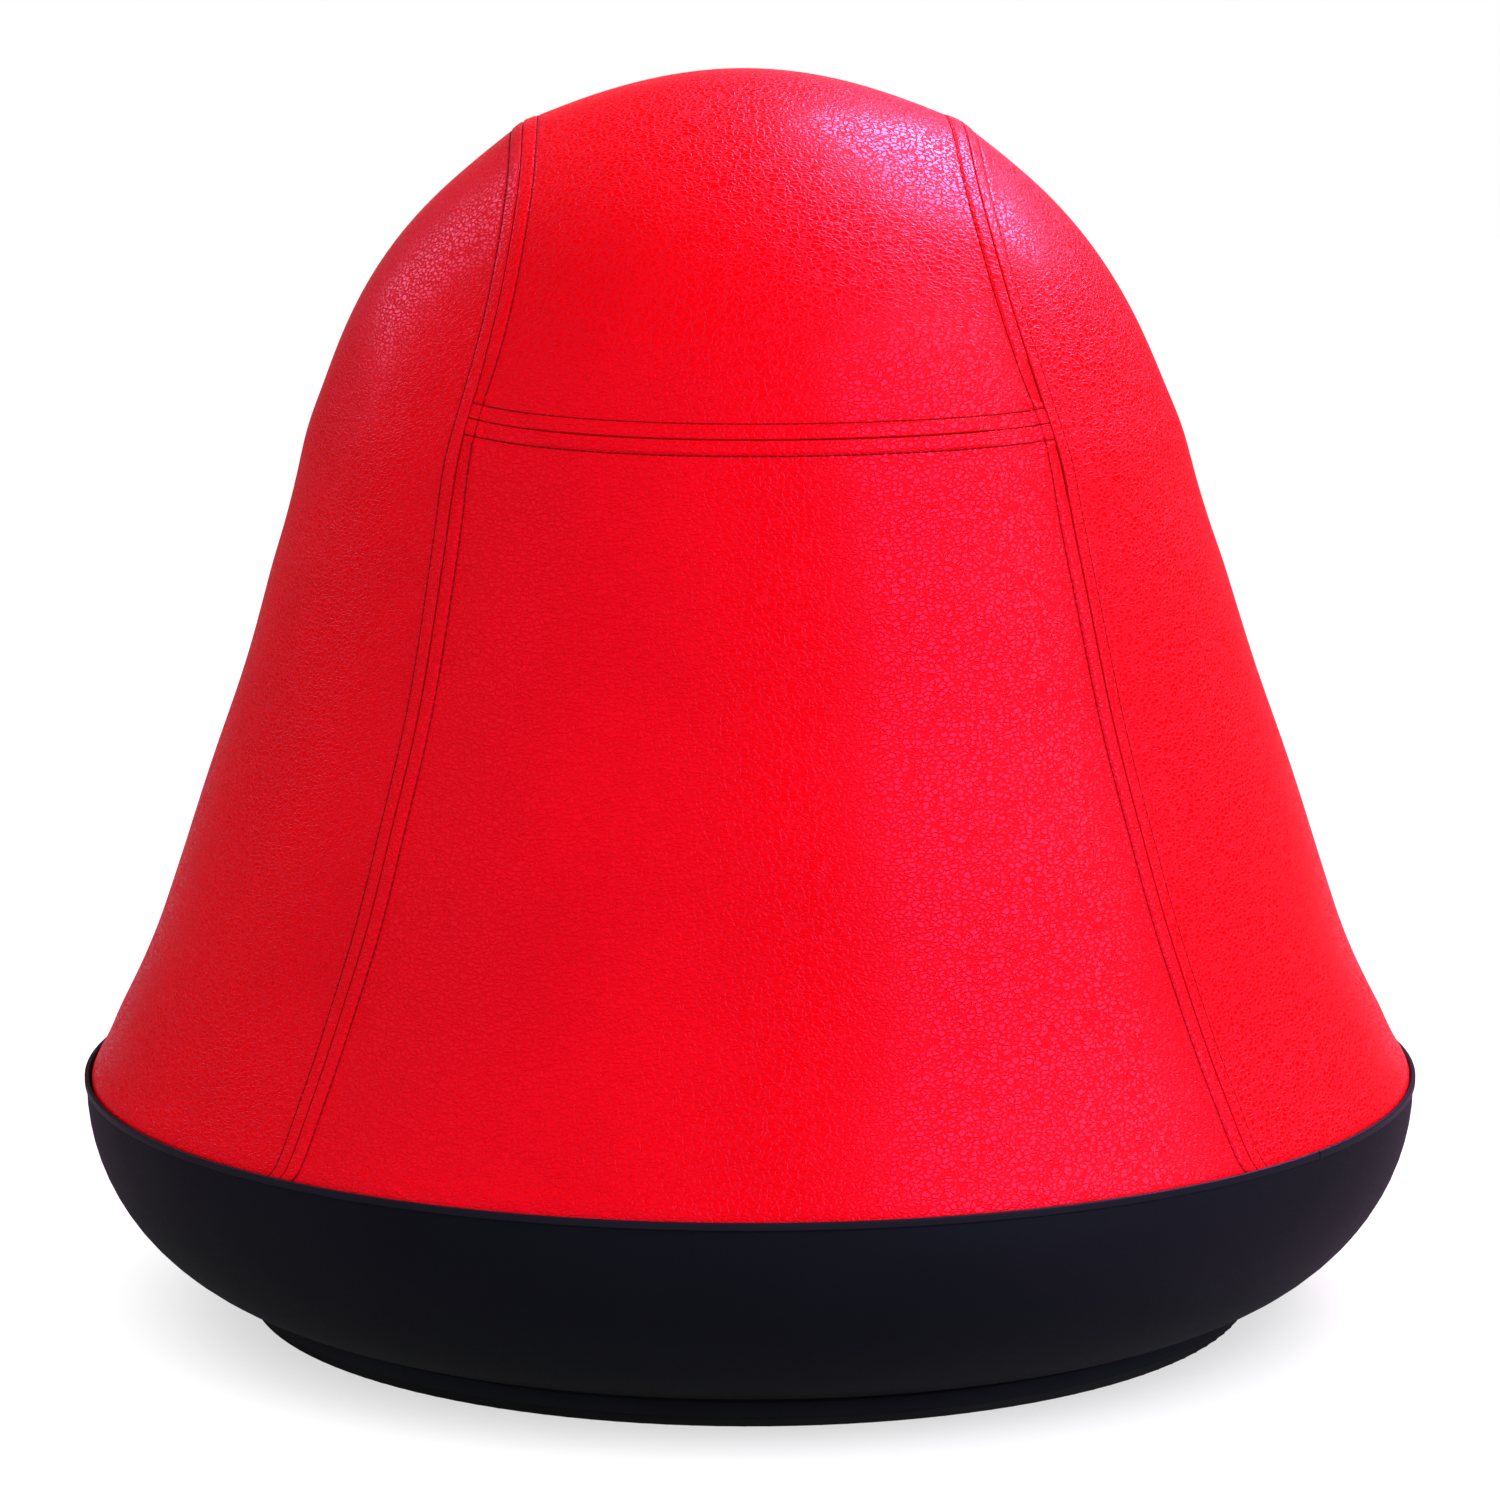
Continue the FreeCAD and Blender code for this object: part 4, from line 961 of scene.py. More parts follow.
    def side_grid(self, across: Spacing, left: bool) -> PanelGrid:
        """Lays level rows up a side to the dome's middle, and a fan of rows over the shoulder.

        Args:
            across: Grid lines from the seam towards the middle of the side.
            left: True for the left panel.

        Returns:
            The panel, from one hem over the shoulder to the other.
        """
        low, high = self.bell.hem_end, self.bell.dome_height
        length = self.bell.line_length(low, high)
        above = np.linspace(self.hem_run, length, self.steps_up)[1:]
        distances = np.concatenate([self.hem_places, above])
        heights = self.bell.heights_along(low, high, distances)[:, None]
        radius = self.bell.radius(heights)
        start = np.arcsin(self.seam.distance(heights) / radius)
        share = np.linspace(0, 1, self.dense_steps)
        wall = ring_points(radius, start + (math.pi / 2 - start) * share, heights)
        turn = np.linspace(0, math.pi, self.steps_fan + 1)[1:-1, None]
        out = self.reach(turn) * (1 - share)
        z, y = high + out * np.sin(turn), -out * np.cos(turn)
        fan = np.stack([np.sqrt(np.maximum(self.bell.radius(z) ** 2 - y ** 2, 0)), y, z], -1)
        dense = np.concatenate([wall, fan, wall[::-1] * (1, -1, 1)])
        if left:
            dense = dense[::-1] * (-1, 1, 1)
        return self.panel_grid(dense, across, np.full(len(dense), FAR), squeezed=False)

    def sewn_profile(self, distance: np.ndarray, width: np.ndarray | float,
                     bulk: np.ndarray | float) -> np.ndarray:
        """Rise of the skin by a seam: rolled fold, raised allowance and pinched stitch row.

        Args:
            distance: Distance from the seam's fold.
            width: Width of one rolled edge.
            bulk: Share of the folded allowance that shows.

        Returns:
            Rise above the bell, negative in the fold.
        """
        share = np.clip(1 - distance / width, 0, 1)
        fold = -self.fold_depth * (1 - np.sqrt(1 - share ** 2))
        allowance = self.allowance_rise * bulk * (1 - self.allowance_edge.at(distance))
        return fold + allowance - Hump(self.stitch_offset, self.pinch_width,
                                       self.pinch_depth).at(distance)

    def shaped(self, grid: PanelGrid) -> np.ndarray:
        """Shapes a panel with its seams, ridge, puckers and the crown's lean.

        Args:
            grid: The panel.

        Returns:
            Places of its points.
        """
        z = grid.points[..., 2]
        crown = self.crown.at(z)
        width = self.fold_width * (1 + self.crown_fold * crown)
        seams = (self.sewn_profile(grid.seam, width, 1 - self.crown_thinning * crown),
                 self.sewn_profile(grid.cross, self.fold_width, 1.0))
        sewn = np.where(np.minimum(*seams) < 0, np.minimum(*seams), np.maximum(*seams))
        ridge = ((self.ridge_low + (self.ridge_rise - self.ridge_low) * crown)
                 * np.exp(-grid.seam / self.ridge_reach))
        pucker = (self.pucker_rise * self.pucker_seam.at(grid.seam)
                  * self.pucker_cross.at(grid.cross))
        rise = (sewn + ridge + pucker + self.figure(z) + self.unevenness(grid.points)
                + self.settled(grid))
        places = grid.points + grid.normals * rise[..., None]
        places[..., 0] -= self.lean(grid.points)
        return places

    def figure(self, height: np.ndarray) -> np.ndarray:
        """Rise of the stuffed cover off the bell: full crown, shoulder, waist and pinched hem.

        Args:
            height: Heights on the bell.

        Returns:
            The rise at each height.
        """
        above = height - self.bell.hem_height
        pinch = self.hem_pinch * self.hem_drawn.at(above) * (1 - self.hem_freed.at(above))
        crown = self.crown_rise * self.crown_full.at(height)
        return crown + self.shoulder.at(height) - self.waist.at(height) - pinch

    def lean(self, points: np.ndarray) -> np.ndarray:
        """Sideways lean of the crown at points on it, less in its middle, where seams hold it."""
        held = 1 - self.lean_hold * (1 - self.lean_across.at(np.abs(points[..., 0])))
        return self.lean_most * held * self.lean_up.at(points[..., 2])

    def unevenness(self, points: np.ndarray) -> np.ndarray:
        """Slow swell of hand-stretched leatherette, a few tenths of a millimetre.

        Args:
            points: Points on the bell.

        Returns:
            The rise at each point.
        """
        draw = np.random.default_rng(self.swell_seed)
        swell = np.zeros(points.shape[:-1])
        for _ in range(self.swell_waves):
            way = draw.normal(size=3)
            way /= np.linalg.norm(way)
            turns = 2 * math.pi / draw.uniform(*self.swell_lengths)
            phase = draw.uniform(0, self.swell_phase)
            swell += self.swell_height * np.sin(points @ way * turns + phase)
        return swell

    def settled(self, grid: PanelGrid) -> np.ndarray:
        """Swell of a panel between its sewn edges, from a short cloth run on a coarse copy.

        Args:
            grid: The panel.

        Returns:
            Rise of each point.
        """
        pick = np.ix_(*(np.unique(np.linspace(0, size - 1, count).astype(int))
                        for size, count in zip(grid.seam.shape, self.settle_grid)))
        coarse = grid.points[pick]
        flat = coarse.reshape(-1, 3)
        start, where = weld(flat)
        cloth = mesh_object("settling_panel", flat, grid_faces(*coarse.shape[:2]))
        sewn = np.minimum(grid.seam, grid.cross)[pick] <= 0
        sewn |= coarse[..., 2] < self.bell.joints[2]
        pins = cloth.vertex_groups.new(name="sewn")
        pins.add(np.unique(where[sewn.reshape(-1)]).tolist(), 1.0, "REPLACE")
        sheet = cloth.modifiers.new("settle", "CLOTH")
        rules = sheet.settings
        rules.vertex_group_mass = pins.name
        rules.tension_stiffness = rules.compression_stiffness = self.settle_stiffness
        rules.use_pressure = True
        rules.uniform_pressure_force = self.settle_pressure
        rules.effector_weights.gravity = 0
        sheet.point_cache.frame_end = self.settle_frames
        scene = bpy.context.scene
        for number in range(1, self.settle_frames + 1):
            scene.frame_set(number)
        soft = cloth.evaluated_get(bpy.context.evaluated_depsgraph_get()).data
        ends = np.empty(len(soft.vertices) * 3, np.float32)
        soft.vertices.foreach_get("co", ends)
        moved = (ends.reshape(-1, 3) - start) * self.bell.normals(start)
        swell = np.clip(moved.sum(-1), 0, self.settle_limit) - self.settle_inset
        bpy.data.objects.remove(cloth)
        scene.frame_set(1)
        return self.spread(start, swell, grid.points)

    def spread(self, sources: np.ndarray, values: np.ndarray, points: np.ndarray) -> np.ndarray:
        """Blends values known at scattered places smoothly over other places.

        Args:
            sources: Places with a known value.
            values: The value at each of them.
            points: Places to fill, in rows.

        Returns:
            The blended value at each place.
        """
        flat = points.reshape(-1, 3)
        squares = (flat ** 2).sum(1)[:, None] + (sources ** 2).sum(1)[None, :]
        apart = np.maximum(squares - 2 * flat @ sources.T, 0)
        share = np.exp(-apart / self.settle_blend ** 2)
        return (share @ values / share.sum(1)).reshape(points.shape[:-1])

    def build(self) -> list[bpy.types.Object]:
        """Builds and dresses the panels, the topstitching, the foam and the ball.

        Returns:
            The pieces made.
        """
        across = Spacing(self.near, self.steps_across)
        up = Spacing(self.near, self.steps_up, first=False)
        over = Spacing(self.near, self.steps_over)
        out = Spacing(self.near, self.steps_out, last=False)
        grids = {
            PanelSide.FRONT: self.tugged(self.wall_grid(across, up, back=False)),
            PanelSide.BACK: self.wall_grid(across, up, back=True),
            PanelSide.TOP: self.tugged(self.top_grid(across, over)),
            PanelSide.RIGHT: self.side_grid(out, left=False),
            PanelSide.LEFT: self.side_grid(out, left=True),
        }
        leather = COVER.make()
        pieces, shapes = [], {}
        for side, grid in grids.items():
            shapes[side] = self.shaped(grid)
            pieces.append(self.panel_piece(side, grid, shapes[side], leather))
        return [*pieces, self.topstitching(grids, shapes), self.lining(), self.ball()]

    def panel_piece(self, side: PanelSide, grid: PanelGrid, places: np.ndarray,
                    leather: bpy.types.Material) -> bpy.types.Object:
        """Makes one panel a thin closed skin and dresses it.

        Args:
            side: Which way it faces.
            grid: The panel on the bell.
            places: Its shaped points.
            leather: Its material.

        Returns:
            The panel.
        """
        flat = places.reshape(-1, 3)
        panel = mesh_object(f"cover_{side.value}", flat, grid_faces(*places.shape[:2]))
        kept, where = weld(flat)
        nearest = np.full(len(kept), np.inf)
        np.minimum.at(nearest, where, np.minimum(grid.seam, grid.cross).reshape(-1))
        # Painted shade, darkest at each seam's fold and fading away from it.
        shade = self.painted_fold_shade * (1 - self.painted_fold_shade_edge.at(nearest))
        fold = panel.data.attributes.new(PAINTED_FOLD_SHADE, "FLOAT", "POINT")
        fold.data.foreach_set("value", shade.astype(np.float32))
        panel.data.materials.append(leather)
        solid = panel.modifiers.new("skin", "SOLIDIFY")
        solid.thickness, solid.offset = self.skin, -1
        return declare(panel, f"{side.value}_panel")

    def topstitching(self, grids: dict[PanelSide, PanelGrid],
                     shapes: dict[PanelSide, np.ndarray]) -> bpy.types.Object:
        """Runs stitches along every row and makes them one mesh.

        Args:
            grids: The panels on the bell.
            shapes: Their shaped points.

        Returns:
            The stitches.
        """
        line, last = self.stitch_line, -1 - self.stitch_line
        whole, inner = slice(None), slice(self.stitch_margin, -self.stitch_margin)
        front, back, top = PanelSide.FRONT, PanelSide.BACK, PanelSide.TOP
        rows = [[(PanelSide.RIGHT, whole, line)], [(PanelSide.LEFT, whole, line)]]
        rows += [[(front, whole, column), (top, slice(1, None), column),
                  (back, slice(-2, None, -1), -1 - column)] for column in (line, last)]
        rows += [[(front, last, inner)], [(back, last, inner)],
                 [(top, line, inner)], [(top, last, inner)]]
        carrier = line_object("stitch_rows", [
            np.concatenate([shapes[side][row, column] for side, row, column in parts])
            for parts in rows])
        normals = np.concatenate([grids[side].normals[row, column]
                                  for parts in rows for side, row, column in parts])
        outward = carrier.data.attributes.new(OUTWARD, "FLOAT_VECTOR", "POINT")
        outward.data.foreach_set("vector", normals.astype(np.float32).reshape(-1))
        stitched = run_tree(carrier, stitch_tree(), {
            "Pitch": self.stitch_pitch, "Stitch Length": self.stitch_length,
            "Thread Radius": self.thread_radius, "Thread": THREAD.make()}, "cover_topstitching")
        return declare(stitched)

    def lining(self) -> bpy.types.Object:
        """Builds the foam behind the cover, leaning as the cover does.

        Returns:
            The foam.
        """
        low, high = self.bell.hem_end, self.bell.top
        rows, columns = self.lining_grid
        along = np.linspace(0, self.bell.line_length(low, high), rows)
        heights = self.bell.heights_along(low, high, along)[:, None]
        turn = np.linspace(0, 2 * math.pi, columns, endpoint=False)
        shell = ring_points(self.bell.radius(heights), turn, heights)
        normals = self.bell.normals(shell)
        lean = self.lean(shell)
        shell += normals * self.figure(shell[..., 2:])
        shell[..., 0] -= lean
        outer = shell - self.lining_outer * normals
        inner = (shell - self.lining_inner * normals)[::-1]
        closed = np.concatenate([inner[-1:], outer, inner])
        foam = mesh_object("lining_shell", closed.reshape(-1, 3),
                           grid_faces(len(closed), columns, closed=True))
        foam.data.materials.append(FOAM.make())
        return declare(foam, "lining_foam")

    def ball(self) -> bpy.types.Object:
        """Copies the ball as one smooth skin with moulded rings, leaning with the cover.

        Returns:
            The ball.
        """
        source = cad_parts["exercise_ball"].data
        points = np.empty(len(source.vertices) * 3)
        source.vertices.foreach_get("co", points)
        points = points.reshape(-1, 3)
        around = np.hypot(points[:, 0], points[:, 1])
        rings = self.ball_ring_depth * np.cos(points[:, 2] * (2 * math.pi / self.ball_ring_pitch))
        inset = (self.ball_ring_depth + rings) / np.maximum(around, self.ball_pole)
        points[:, :2] *= (1 - inset)[:, None]
        points[:, 0] -= self.lean(points)
        skin = mesh_object("exercise_ball_skin", points,
                           [face.vertices[:] for face in source.polygons])
        skin.data.materials.append(VINYL.make())
        return declare(skin, "exercise_ball")


def start_tree(name: str,
               inputs: dict[str, str]) -> tuple[bpy.types.NodeTree, bpy.types.bpy_prop_collection]:
    """Starts a geometry tree.

    Args:
        name: The tree's name.
        inputs: Names of its inputs, the carrier first, and the kind of each.

    Returns:
        The tree, and its inputs as sockets to link from.
    """
    tree = bpy.data.node_groups.new(name, "GeometryNodeTree")
    for label, kind in inputs.items():
        tree.interface.new_socket(label, in_out="INPUT", socket_type=f"NodeSocket{kind}")
    tree.interface.new_socket("Piece", in_out="OUTPUT", socket_type="NodeSocketGeometry")
    return tree, add_node(tree, "NodeGroupInput").outputs


def end_tree(tree: bpy.types.NodeTree, made: Signal, material: Signal) -> bpy.types.NodeTree:
    """Ends a geometry tree in real, smooth faces of one material.

    Args:
        tree: The tree.
        made: Its geometry.
        material: The material.

    Returns:
        The tree.
    """
    real = add_node(tree, "GeometryNodeRealizeInstances", {"Geometry": made})
    smooth = add_node(tree, "GeometryNodeSetShadeSmooth", {"Geometry": real})
    dressed = add_node(tree, "GeometryNodeSetMaterial", {
        "Geometry": smooth, "Material": material})
    add_node(tree, "NodeGroupOutput", {"Piece": dressed})
    return tree


def run_tree(carrier: bpy.types.Object, tree: bpy.types.NodeTree, values: dict,
             name: str) -> bpy.types.Object:
    """Runs a geometry tree on a carrier and keeps the result as a plain mesh.

    Args:
        carrier: Object that the tree reads; it is removed.
        tree: The geometry tree.
        values: Input names and their values.
        name: Name of the new object.

    Returns:
        The new object.
    """
    modifier = carrier.modifiers.new(tree.name, "NODES")
    modifier.node_group = tree
    for item in tree.interface.items_tree:
        if item.name in values:
            modifier[item.identifier] = values[item.name]
    graph = bpy.context.evaluated_depsgraph_get()
    mesh = bpy.data.meshes.new_from_object(carrier.evaluated_get(graph))
    mesh.name = name
    carrier.modifiers.remove(modifier)
    bpy.data.objects.remove(carrier)
    return link_object(name, mesh)


# A stitch's sunk ends and its crest, in thread radii, and the steps of its arch and round.
STITCH_SINK, STITCH_LIFT = -1.1, 1.3
ARCH_STEPS, THREAD_SIDES = 4, 5


def stitch_tree() -> bpy.types.NodeTree:
    """Lays one arched stitch at each pitch along rows of edges.

    Returns:
        The tree, with the pitch, stitch length, thread radius and thread as inputs.
    """
    tree, given = start_tree("topstitch_row", {
        "Rows": "Geometry", "Pitch": "Float", "Stitch Length": "Float", "Thread Radius": "Float",
        "Thread": "Material"})
    curve = add_node(tree, "GeometryNodeMeshToCurve", {"Mesh": given["Rows"]})
    even = add_node(tree, "GeometryNodeResampleCurve", {
        "Curve": curve, "Length": given["Pitch"]}, mode="LENGTH")
    behind, ahead, sunk, lift = (
        add_node(tree, "ShaderNodeMath", {0: given[size], 1: share}, operation="MULTIPLY")
        for size, share in (("Stitch Length", -0.5), ("Stitch Length", 0.5),
                            ("Thread Radius", STITCH_SINK), ("Thread Radius", STITCH_LIFT)))
    first = add_node(tree, "ShaderNodeCombineXYZ", {"X": behind, "Z": sunk})
    crest = add_node(tree, "ShaderNodeCombineXYZ", {"Z": lift})
    last = add_node(tree, "ShaderNodeCombineXYZ", {"X": ahead, "Z": sunk})
    arch = add_node(tree, "GeometryNodeCurveQuadraticBezier", {
        "Resolution": ARCH_STEPS, "Start": first, "Middle": crest, "End": last})
    ring = add_node(tree, "GeometryNodeCurvePrimitiveCircle", {
        "Resolution": THREAD_SIDES, "Radius": given["Thread Radius"]})
    stitch = add_node(tree, "GeometryNodeCurveToMesh", {
        "Curve": arch, "Profile Curve": ring, "Fill Caps": True})
    tangent = add_node(tree, "GeometryNodeInputTangent")
    outward = add_node(tree, "GeometryNodeInputNamedAttribute", {"Name": OUTWARD},
                       data_type="FLOAT_VECTOR")
    along = add_node(tree, "FunctionNodeAlignRotationToVector", {"Vector": tangent}, axis="X")
    facing = add_node(tree, "FunctionNodeAlignRotationToVector", {
        "Rotation": along, "Vector": outward}, axis="Z", pivot_axis="X")
    placed = add_node(tree, "GeometryNodeInstanceOnPoints", {
        "Points": even, "Instance": stitch, "Rotation": facing})
    return end_tree(tree, placed, given["Thread"])


def edging_tree() -> bpy.types.NodeTree:
    """Draws a closed section along a row of edges.

    Returns:
        The tree, with the section's object and the plastic as inputs.
    """
    tree, given = start_tree("edging_strip", {
        "Path": "Geometry", "Section": "Object", "Plastic": "Material"})
    path = add_node(tree, "GeometryNodeMeshToCurve", {"Mesh": given["Path"]})
    upright = add_node(tree, "GeometryNodeSetCurveNormal", {"Curve": path}, mode="Z_UP")
    outline = add_node(tree, "GeometryNodeObjectInfo", {"Object": given["Section"]})
    section = add_node(tree, "GeometryNodeMeshToCurve", {"Mesh": outline.outputs["Geometry"]})
    strip = add_node(tree, "GeometryNodeCurveToMesh", {
        "Curve": upright, "Profile Curve": section, "Fill Caps": True})
    return end_tree(tree, strip, given["Plastic"])


@dataclass
class RimEdging:
    """Soft strip over the bowl's edge: a flat top with a lip down the outside, butted once."""

    bowl_radius: float
    outer_radius: float
    inner_radius: float
    bottom: float
    edge_height: float
    top: float
    round_radius: float = 0.55 * MM
    round_steps: int = 6
    gap_turn: float = math.radians(51)
    gap: float = 0.6 * MM
    segments: int = 360

    def section(self) -> np.ndarray:
        """Works out the strip's outline, with its outer corners rounded.

        Returns:
            Places outwards and upwards from the bowl's edge.
        """
        edge, soft = self.edge_height, self.round_radius
        corners = [(self.inner_radius, edge, 0), (self.bowl_radius, edge, 0),
                   (self.bowl_radius, self.bottom, 0), (self.outer_radius, self.bottom, soft),
                   (self.outer_radius, self.top, soft), (self.inner_radius, self.top, soft)]
        outline = []
        for number, (across, height, bend) in enumerate(corners):
            here = np.array([across, height])
            before = np.array(corners[number - 1][:2]) - here
            after = np.array(corners[(number + 1) % len(corners)][:2]) - here
            before, after = before / np.linalg.norm(before), after / np.linalg.norm(after)
            for share in np.linspace(0, 1, self.round_steps if bend else 1):
                outline.append(here + bend * ((1 - share) ** 2 * before + share ** 2 * after))
        return np.array(outline) - (self.bowl_radius, self.edge_height)

    def build(self) -> bpy.types.Object:
        """Draws the section round the bowl's edge and dresses the strip.

        Returns:
            The strip.
        """
        half = self.gap / self.bowl_radius / 2
        turn = self.gap_turn + np.linspace(half, 2 * math.pi - half, self.segments)
        path = line_object("edging_path", [ring_points(self.bowl_radius, turn, self.edge_height)])
        outline = self.section()
        flat = np.column_stack([outline[:, 0], -outline[:, 1], np.zeros(len(outline))])
        section = line_object("edging_section", [flat], closed=True)
        strip = run_tree(path, edging_tree(), {"Section": section, "Plastic": EDGING.make()},
                         "rim_edging")
        bpy.data.objects.remove(section)
        return declare(strip, "rim_trim")


def dress_nodes(finishes: dict[Finish, Sequence[str]]) -> list[bpy.types.Object]:
    """Gives the CAD nodes that are still shown their materials.

    Args:
        finishes: Names of the nodes in each finish.

    Returns:
        The nodes.
    """
    nodes = []
    for finish, names in finishes.items():
        material = finish.make()
        for name in names:
            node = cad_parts[name]
            node.data.materials.clear()
            node.data.materials.append(material)
            nodes.append(node)
    return nodes


@dataclass(frozen=True)
class Softbox:
    """One lamp: place, width and height in metres, power in watts, colour and gloss."""

    name: str
    place: tuple[float, float, float]
    size: tuple[float, float]
    power: float
    colour: str = "#ffffff"
    in_gloss: bool = True


@dataclass
class Studio:
    """Camera, lights, floor and white surroundings."""

    softboxes: tuple[Softbox, ...] = (
        Softbox("key", (1.56, -1.22, 1.35), (2.0, 1.7), 70, "#f0ecff"),
        Softbox("front_fill", (-1.3, -2.1, 1.1), (2.4, 2.4), 23, in_gloss=False),
        Softbox("left_fill", (-2.2, -0.9, 0.9), (1.4, 1.4), 13, in_gloss=False),
        Softbox("back_right", (0.89, 1.04, 1.72), (0.95, 0.95), 72, "#ffaaf0"),
        Softbox("back_left", (-1.2, 1.05, 1.2), (0.8, 0.8), 6, "#ffb4ea"),
    )
    lamp_aim: float = 0.3
    camera_distance: float = 2.2
    camera_height: float = 0.5998
    camera_turn: float = math.radians(2.15)
    camera_aim: float = 0.228
    lens: float = 129.16
    sensor: float = 36.0
    ambient: float = 0.24
    behind: tuple[float, float] = (0.95, 0.995)
    behind_gloss: tuple[float, float] = (0.03, 0.35)
    floor_reach: float = 6.0
    floor_colour: str = "#747474"
    floor_gloss: float = 0.12
    # Painted shadow round the foot: where the floor's glow begins and ends its dimming, and its glow
    # nearest the stool.
    painted_shadow_edge: tuple[float, float] = (0.2, 0.29)
    painted_shadow_glow: float = 0.63

    def build(self) -> None:
        """Sets up the whole studio."""
        self.camera()
        self.lights()
        self.floor()
        self.world()
        bpy.context.scene.view_settings.view_transform = "Standard"

    def aim(self, made: bpy.types.Object, place: Sequence[float], height: float) -> None:
        """Puts a lamp or camera at a place, facing the stool's axis.

        Args:
            made: The lamp or camera.
            place: Where it goes.
            height: Height on the axis that it faces.
        """
        made.location = place
        look = Vector((0, 0, height)) - Vector(place)
        made.rotation_euler = look.to_track_quat("-Z", "Y").to_euler()

    def camera(self) -> None:
        """Places the camera at the photograph's viewing angle."""
        data = bpy.data.cameras.new("camera")
        data.lens, data.sensor_width = self.lens, self.sensor
        made = link_object("camera", data)
        self.aim(made, ring_points(self.camera_distance, -self.camera_turn, self.camera_height),
                 self.camera_aim)
        bpy.context.scene.camera = made

    def lights(self) -> None:
        """Hangs the softboxes."""
        for box in self.softboxes:
            data = bpy.data.lights.new(box.name, "AREA")
            data.shape = "RECTANGLE"
            data.size, data.size_y = box.size
            data.energy = box.power
            data.color = srgb(box.colour)[:3]
            made = link_object(box.name, data)
            made.visible_glossy = box.in_gloss
            self.aim(made, box.place, self.lamp_aim)

    def floor(self) -> None:
        """Lays a pale floor that looks white to the camera and keeps the lamps' shadow, with a
        painted shadow where its glow dims round the stool's foot.
        """
        corners = np.array([(-1, -1, 0), (1, -1, 0), (1, 1, 0), (-1, 1, 0)])
        made = mesh_object("floor", corners * self.floor_reach, [(0, 1, 2, 3)])
        material = bpy.data.materials.new("floor_white_paper")
        material.use_nodes = True
        tree = material.node_tree
        place = add_node(tree, "ShaderNodeTexCoord").outputs["Object"]
        far = add_node(tree, "ShaderNodeVectorMath", {0: place}, operation="LENGTH")
        # Painted shadow: the floor's glow dims towards the stool.
        lift = add_node(tree, "ShaderNodeMapRange", {
            "Value": far, "From Min": self.painted_shadow_edge[0], "From Max": self.painted_shadow_edge[1],
            "To Min": self.painted_shadow_glow, "To Max": 1.0}, interpolation_type="SMOOTHSTEP")
        glow = add_node(tree, "ShaderNodeMath", {
            0: self.seen_share(tree, self.floor_gloss), 1: lift}, operation="MULTIPLY")
        feed(tree.nodes["Principled BSDF"], {
            "Base Color": srgb(self.floor_colour), "Roughness": 0.9, "Specular IOR Level": 0.1,
            "Emission Color": WHITE, "Emission Strength": glow})
        made.data.materials.append(material)

    def world(self) -> None:
        """Surrounds the stool with plain light, white to the camera and, behind it, in gloss."""
        world = bpy.data.worlds.new("studio")
        world.use_nodes = True
        bpy.context.scene.world = world
        tree = world.node_tree
        toward = add_node(tree, "ShaderNodeTexCoord").outputs["Generated"]
        across = add_node(tree, "ShaderNodeSeparateXYZ", {"Vector": toward})
        gloss = add_node(tree, "ShaderNodeMapRange", {
            "Value": across.outputs["Y"], "From Min": self.behind[0], "From Max": self.behind[1],
            "To Min": self.behind_gloss[0], "To Max": self.behind_gloss[1]})
        rest = add_node(tree, "ShaderNodeMath", {0: 1.0, 1: self.seen_share(tree, 1.0)},
                        operation="SUBTRACT")
        strength = add_node(tree, "ShaderNodeMath", {
            0: rest, 1: self.ambient, 2: self.seen_share(tree, gloss)}, operation="MULTIPLY_ADD")
        feed(tree.nodes["Background"], {"Color": WHITE, "Strength": strength})

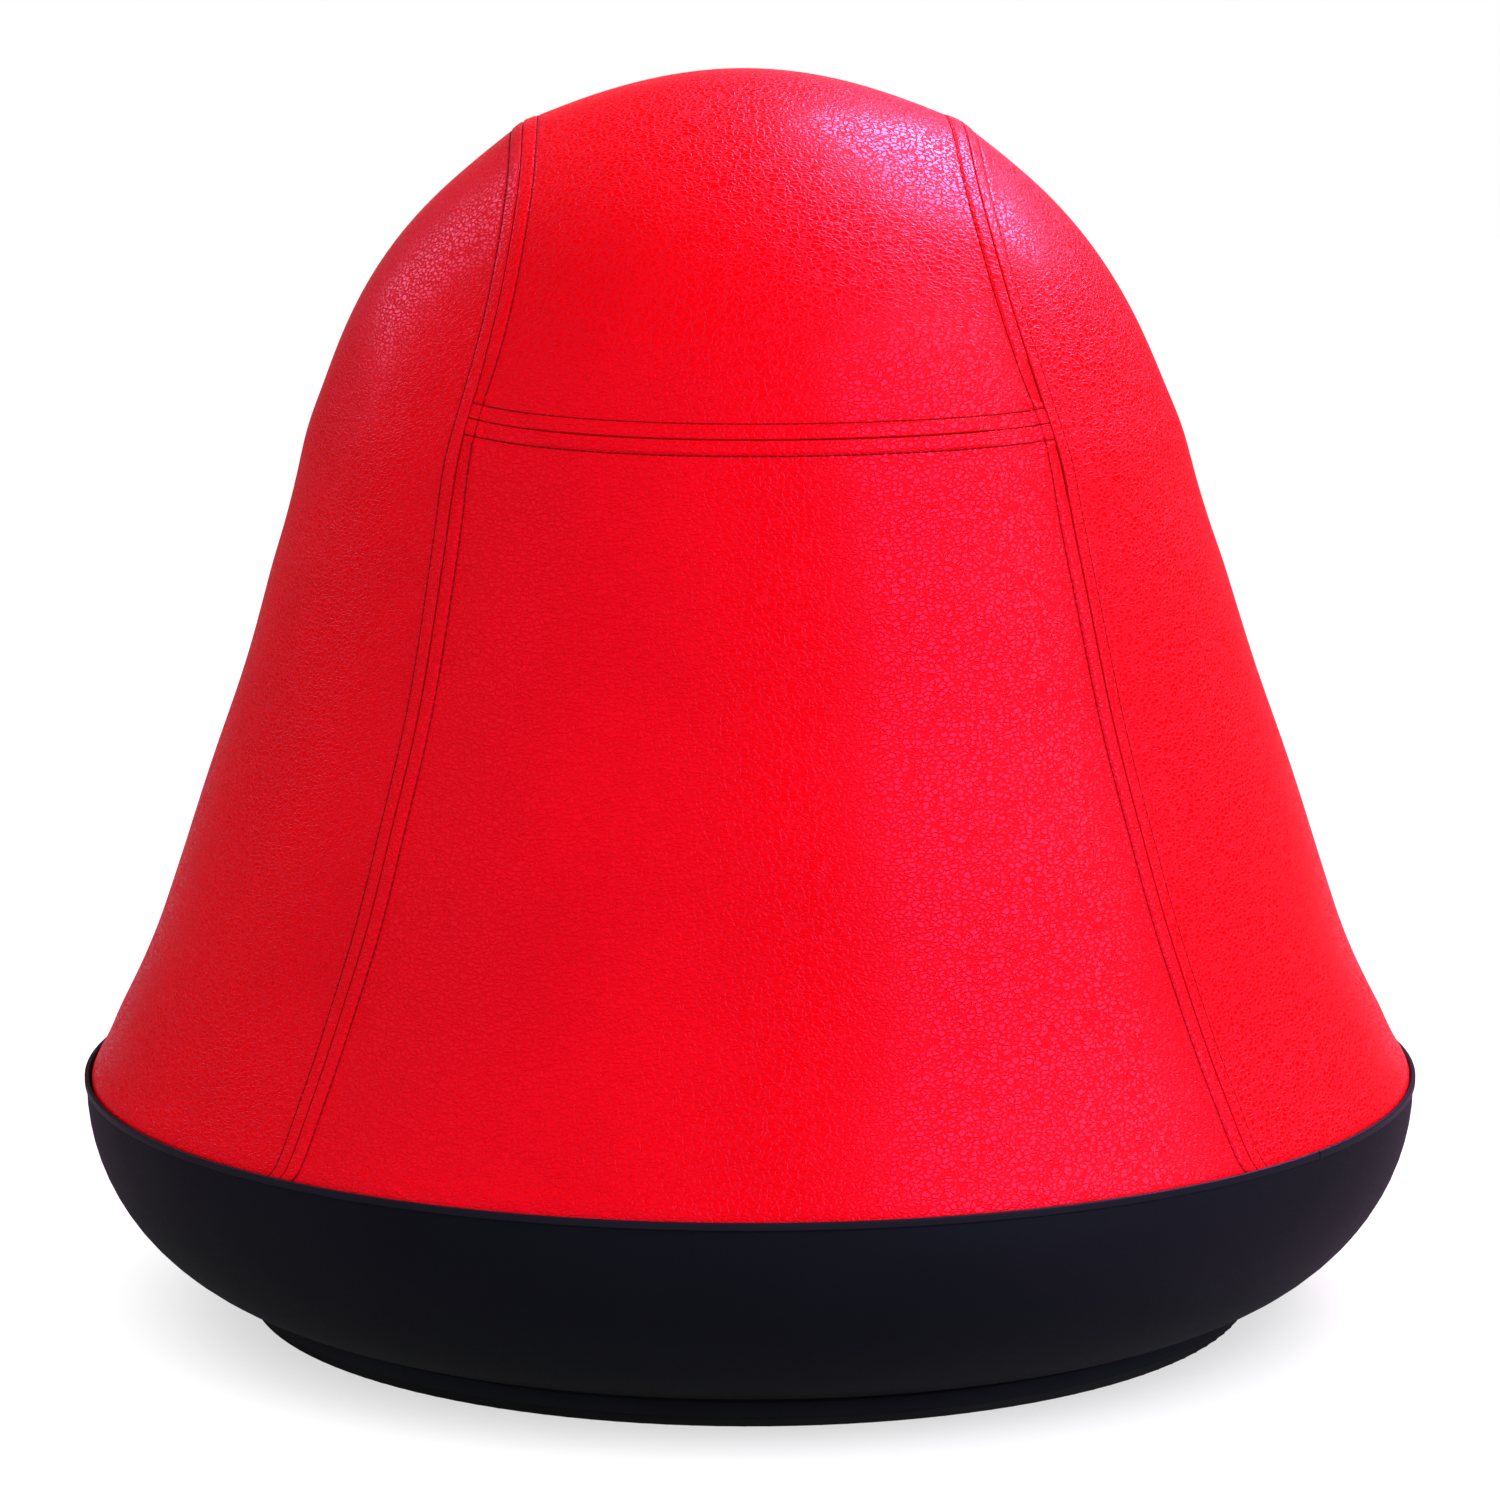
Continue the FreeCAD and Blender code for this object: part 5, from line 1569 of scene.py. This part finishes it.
    def seen_share(self, tree: bpy.types.NodeTree, gloss: Signal | float) -> Signal:
        """Tells the rays that see the white surroundings from those that only light the stool.

        Args:
            tree: The material's or world's tree.
            gloss: Share for rays in gloss.

        Returns:
            One for rays from the camera and through glass, that share in gloss, else nought.
        """
        path = add_node(tree, "ShaderNodeLightPath").outputs
        clear = add_node(tree, "ShaderNodeMath", {
            0: path["Is Camera Ray"], 1: path["Is Transmission Ray"]}, operation="MAXIMUM")
        return add_node(tree, "ShaderNodeMath", {
            0: path["Is Glossy Ray"], 1: gloss, 2: clear}, operation="MULTIPLY_ADD")


# Where the cover and the edging lie against the CAD nodes.
HEM_ABOVE_BOWL = 1 * MM
FLARE_ABOVE_BOWL = 118 * MM
BEND_BELOW_TOP = 8 * MM
CROSS_BELOW_PANEL = 1.1 * MM
EDGING_PLAY = 0.05 * MM
EDGING_INSET = 0.4 * MM
EDGING_WIDTH = 0.9 * MM


def main() -> None:
    """Builds the stool's pieces in order and reports each one."""
    logging.basicConfig(level=logging.INFO, format="%(message)s")
    Studio().build()
    bowl, trim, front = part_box("bowl"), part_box("rim_trim"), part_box("front_panel")
    edge_height = bowl[1].z
    bell = BellShape(top=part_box("top_panel")[1].z, hem_radius=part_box("right_panel")[1].x,
                     hem_height=edge_height + HEM_ABOVE_BOWL, hem_end=front[0].z)
    seam = SeamLine(bend_height=bell.top - BEND_BELOW_TOP, hem_height=bell.hem_height,
                    flare_height=edge_height + FLARE_ABOVE_BOWL)
    cover = Cover(bell, seam, cross_height=front[1].z - CROSS_BELOW_PANEL)
    edging = RimEdging(bowl_radius=bowl[1].x + EDGING_PLAY, outer_radius=trim[1].x - EDGING_INSET,
                       inner_radius=bowl[1].x - EDGING_WIDTH, bottom=trim[0].z,
                       edge_height=edge_height, top=trim[1].z)
    pieces = [*cover.build(), edging.build()]
    pieces += dress_nodes({
        MOULDED: ("bowl", "ball_cradle"),
        FOOT_PAINTED_LIGHTER: ("foot_base",),
        RUBBER: ("floor_ring",),
        NYLON: ("hem_strip", "ball_plug", "bearing_cage"),
        ACETAL: ("pivot_bush",),
        BALL_STEEL: ("bearing_balls",),
        STEEL: ("cradle_screws", "upper_race", "lower_race", "upper_race_screws",
                "lower_race_screws", "pivot_bolt", "thrust_washer", "pivot_nut"),
    })
    for piece in pieces:
        LOG.info("%s: %d faces", piece.name, len(piece.data.polygons))


if __name__ == "__main__":
    main()
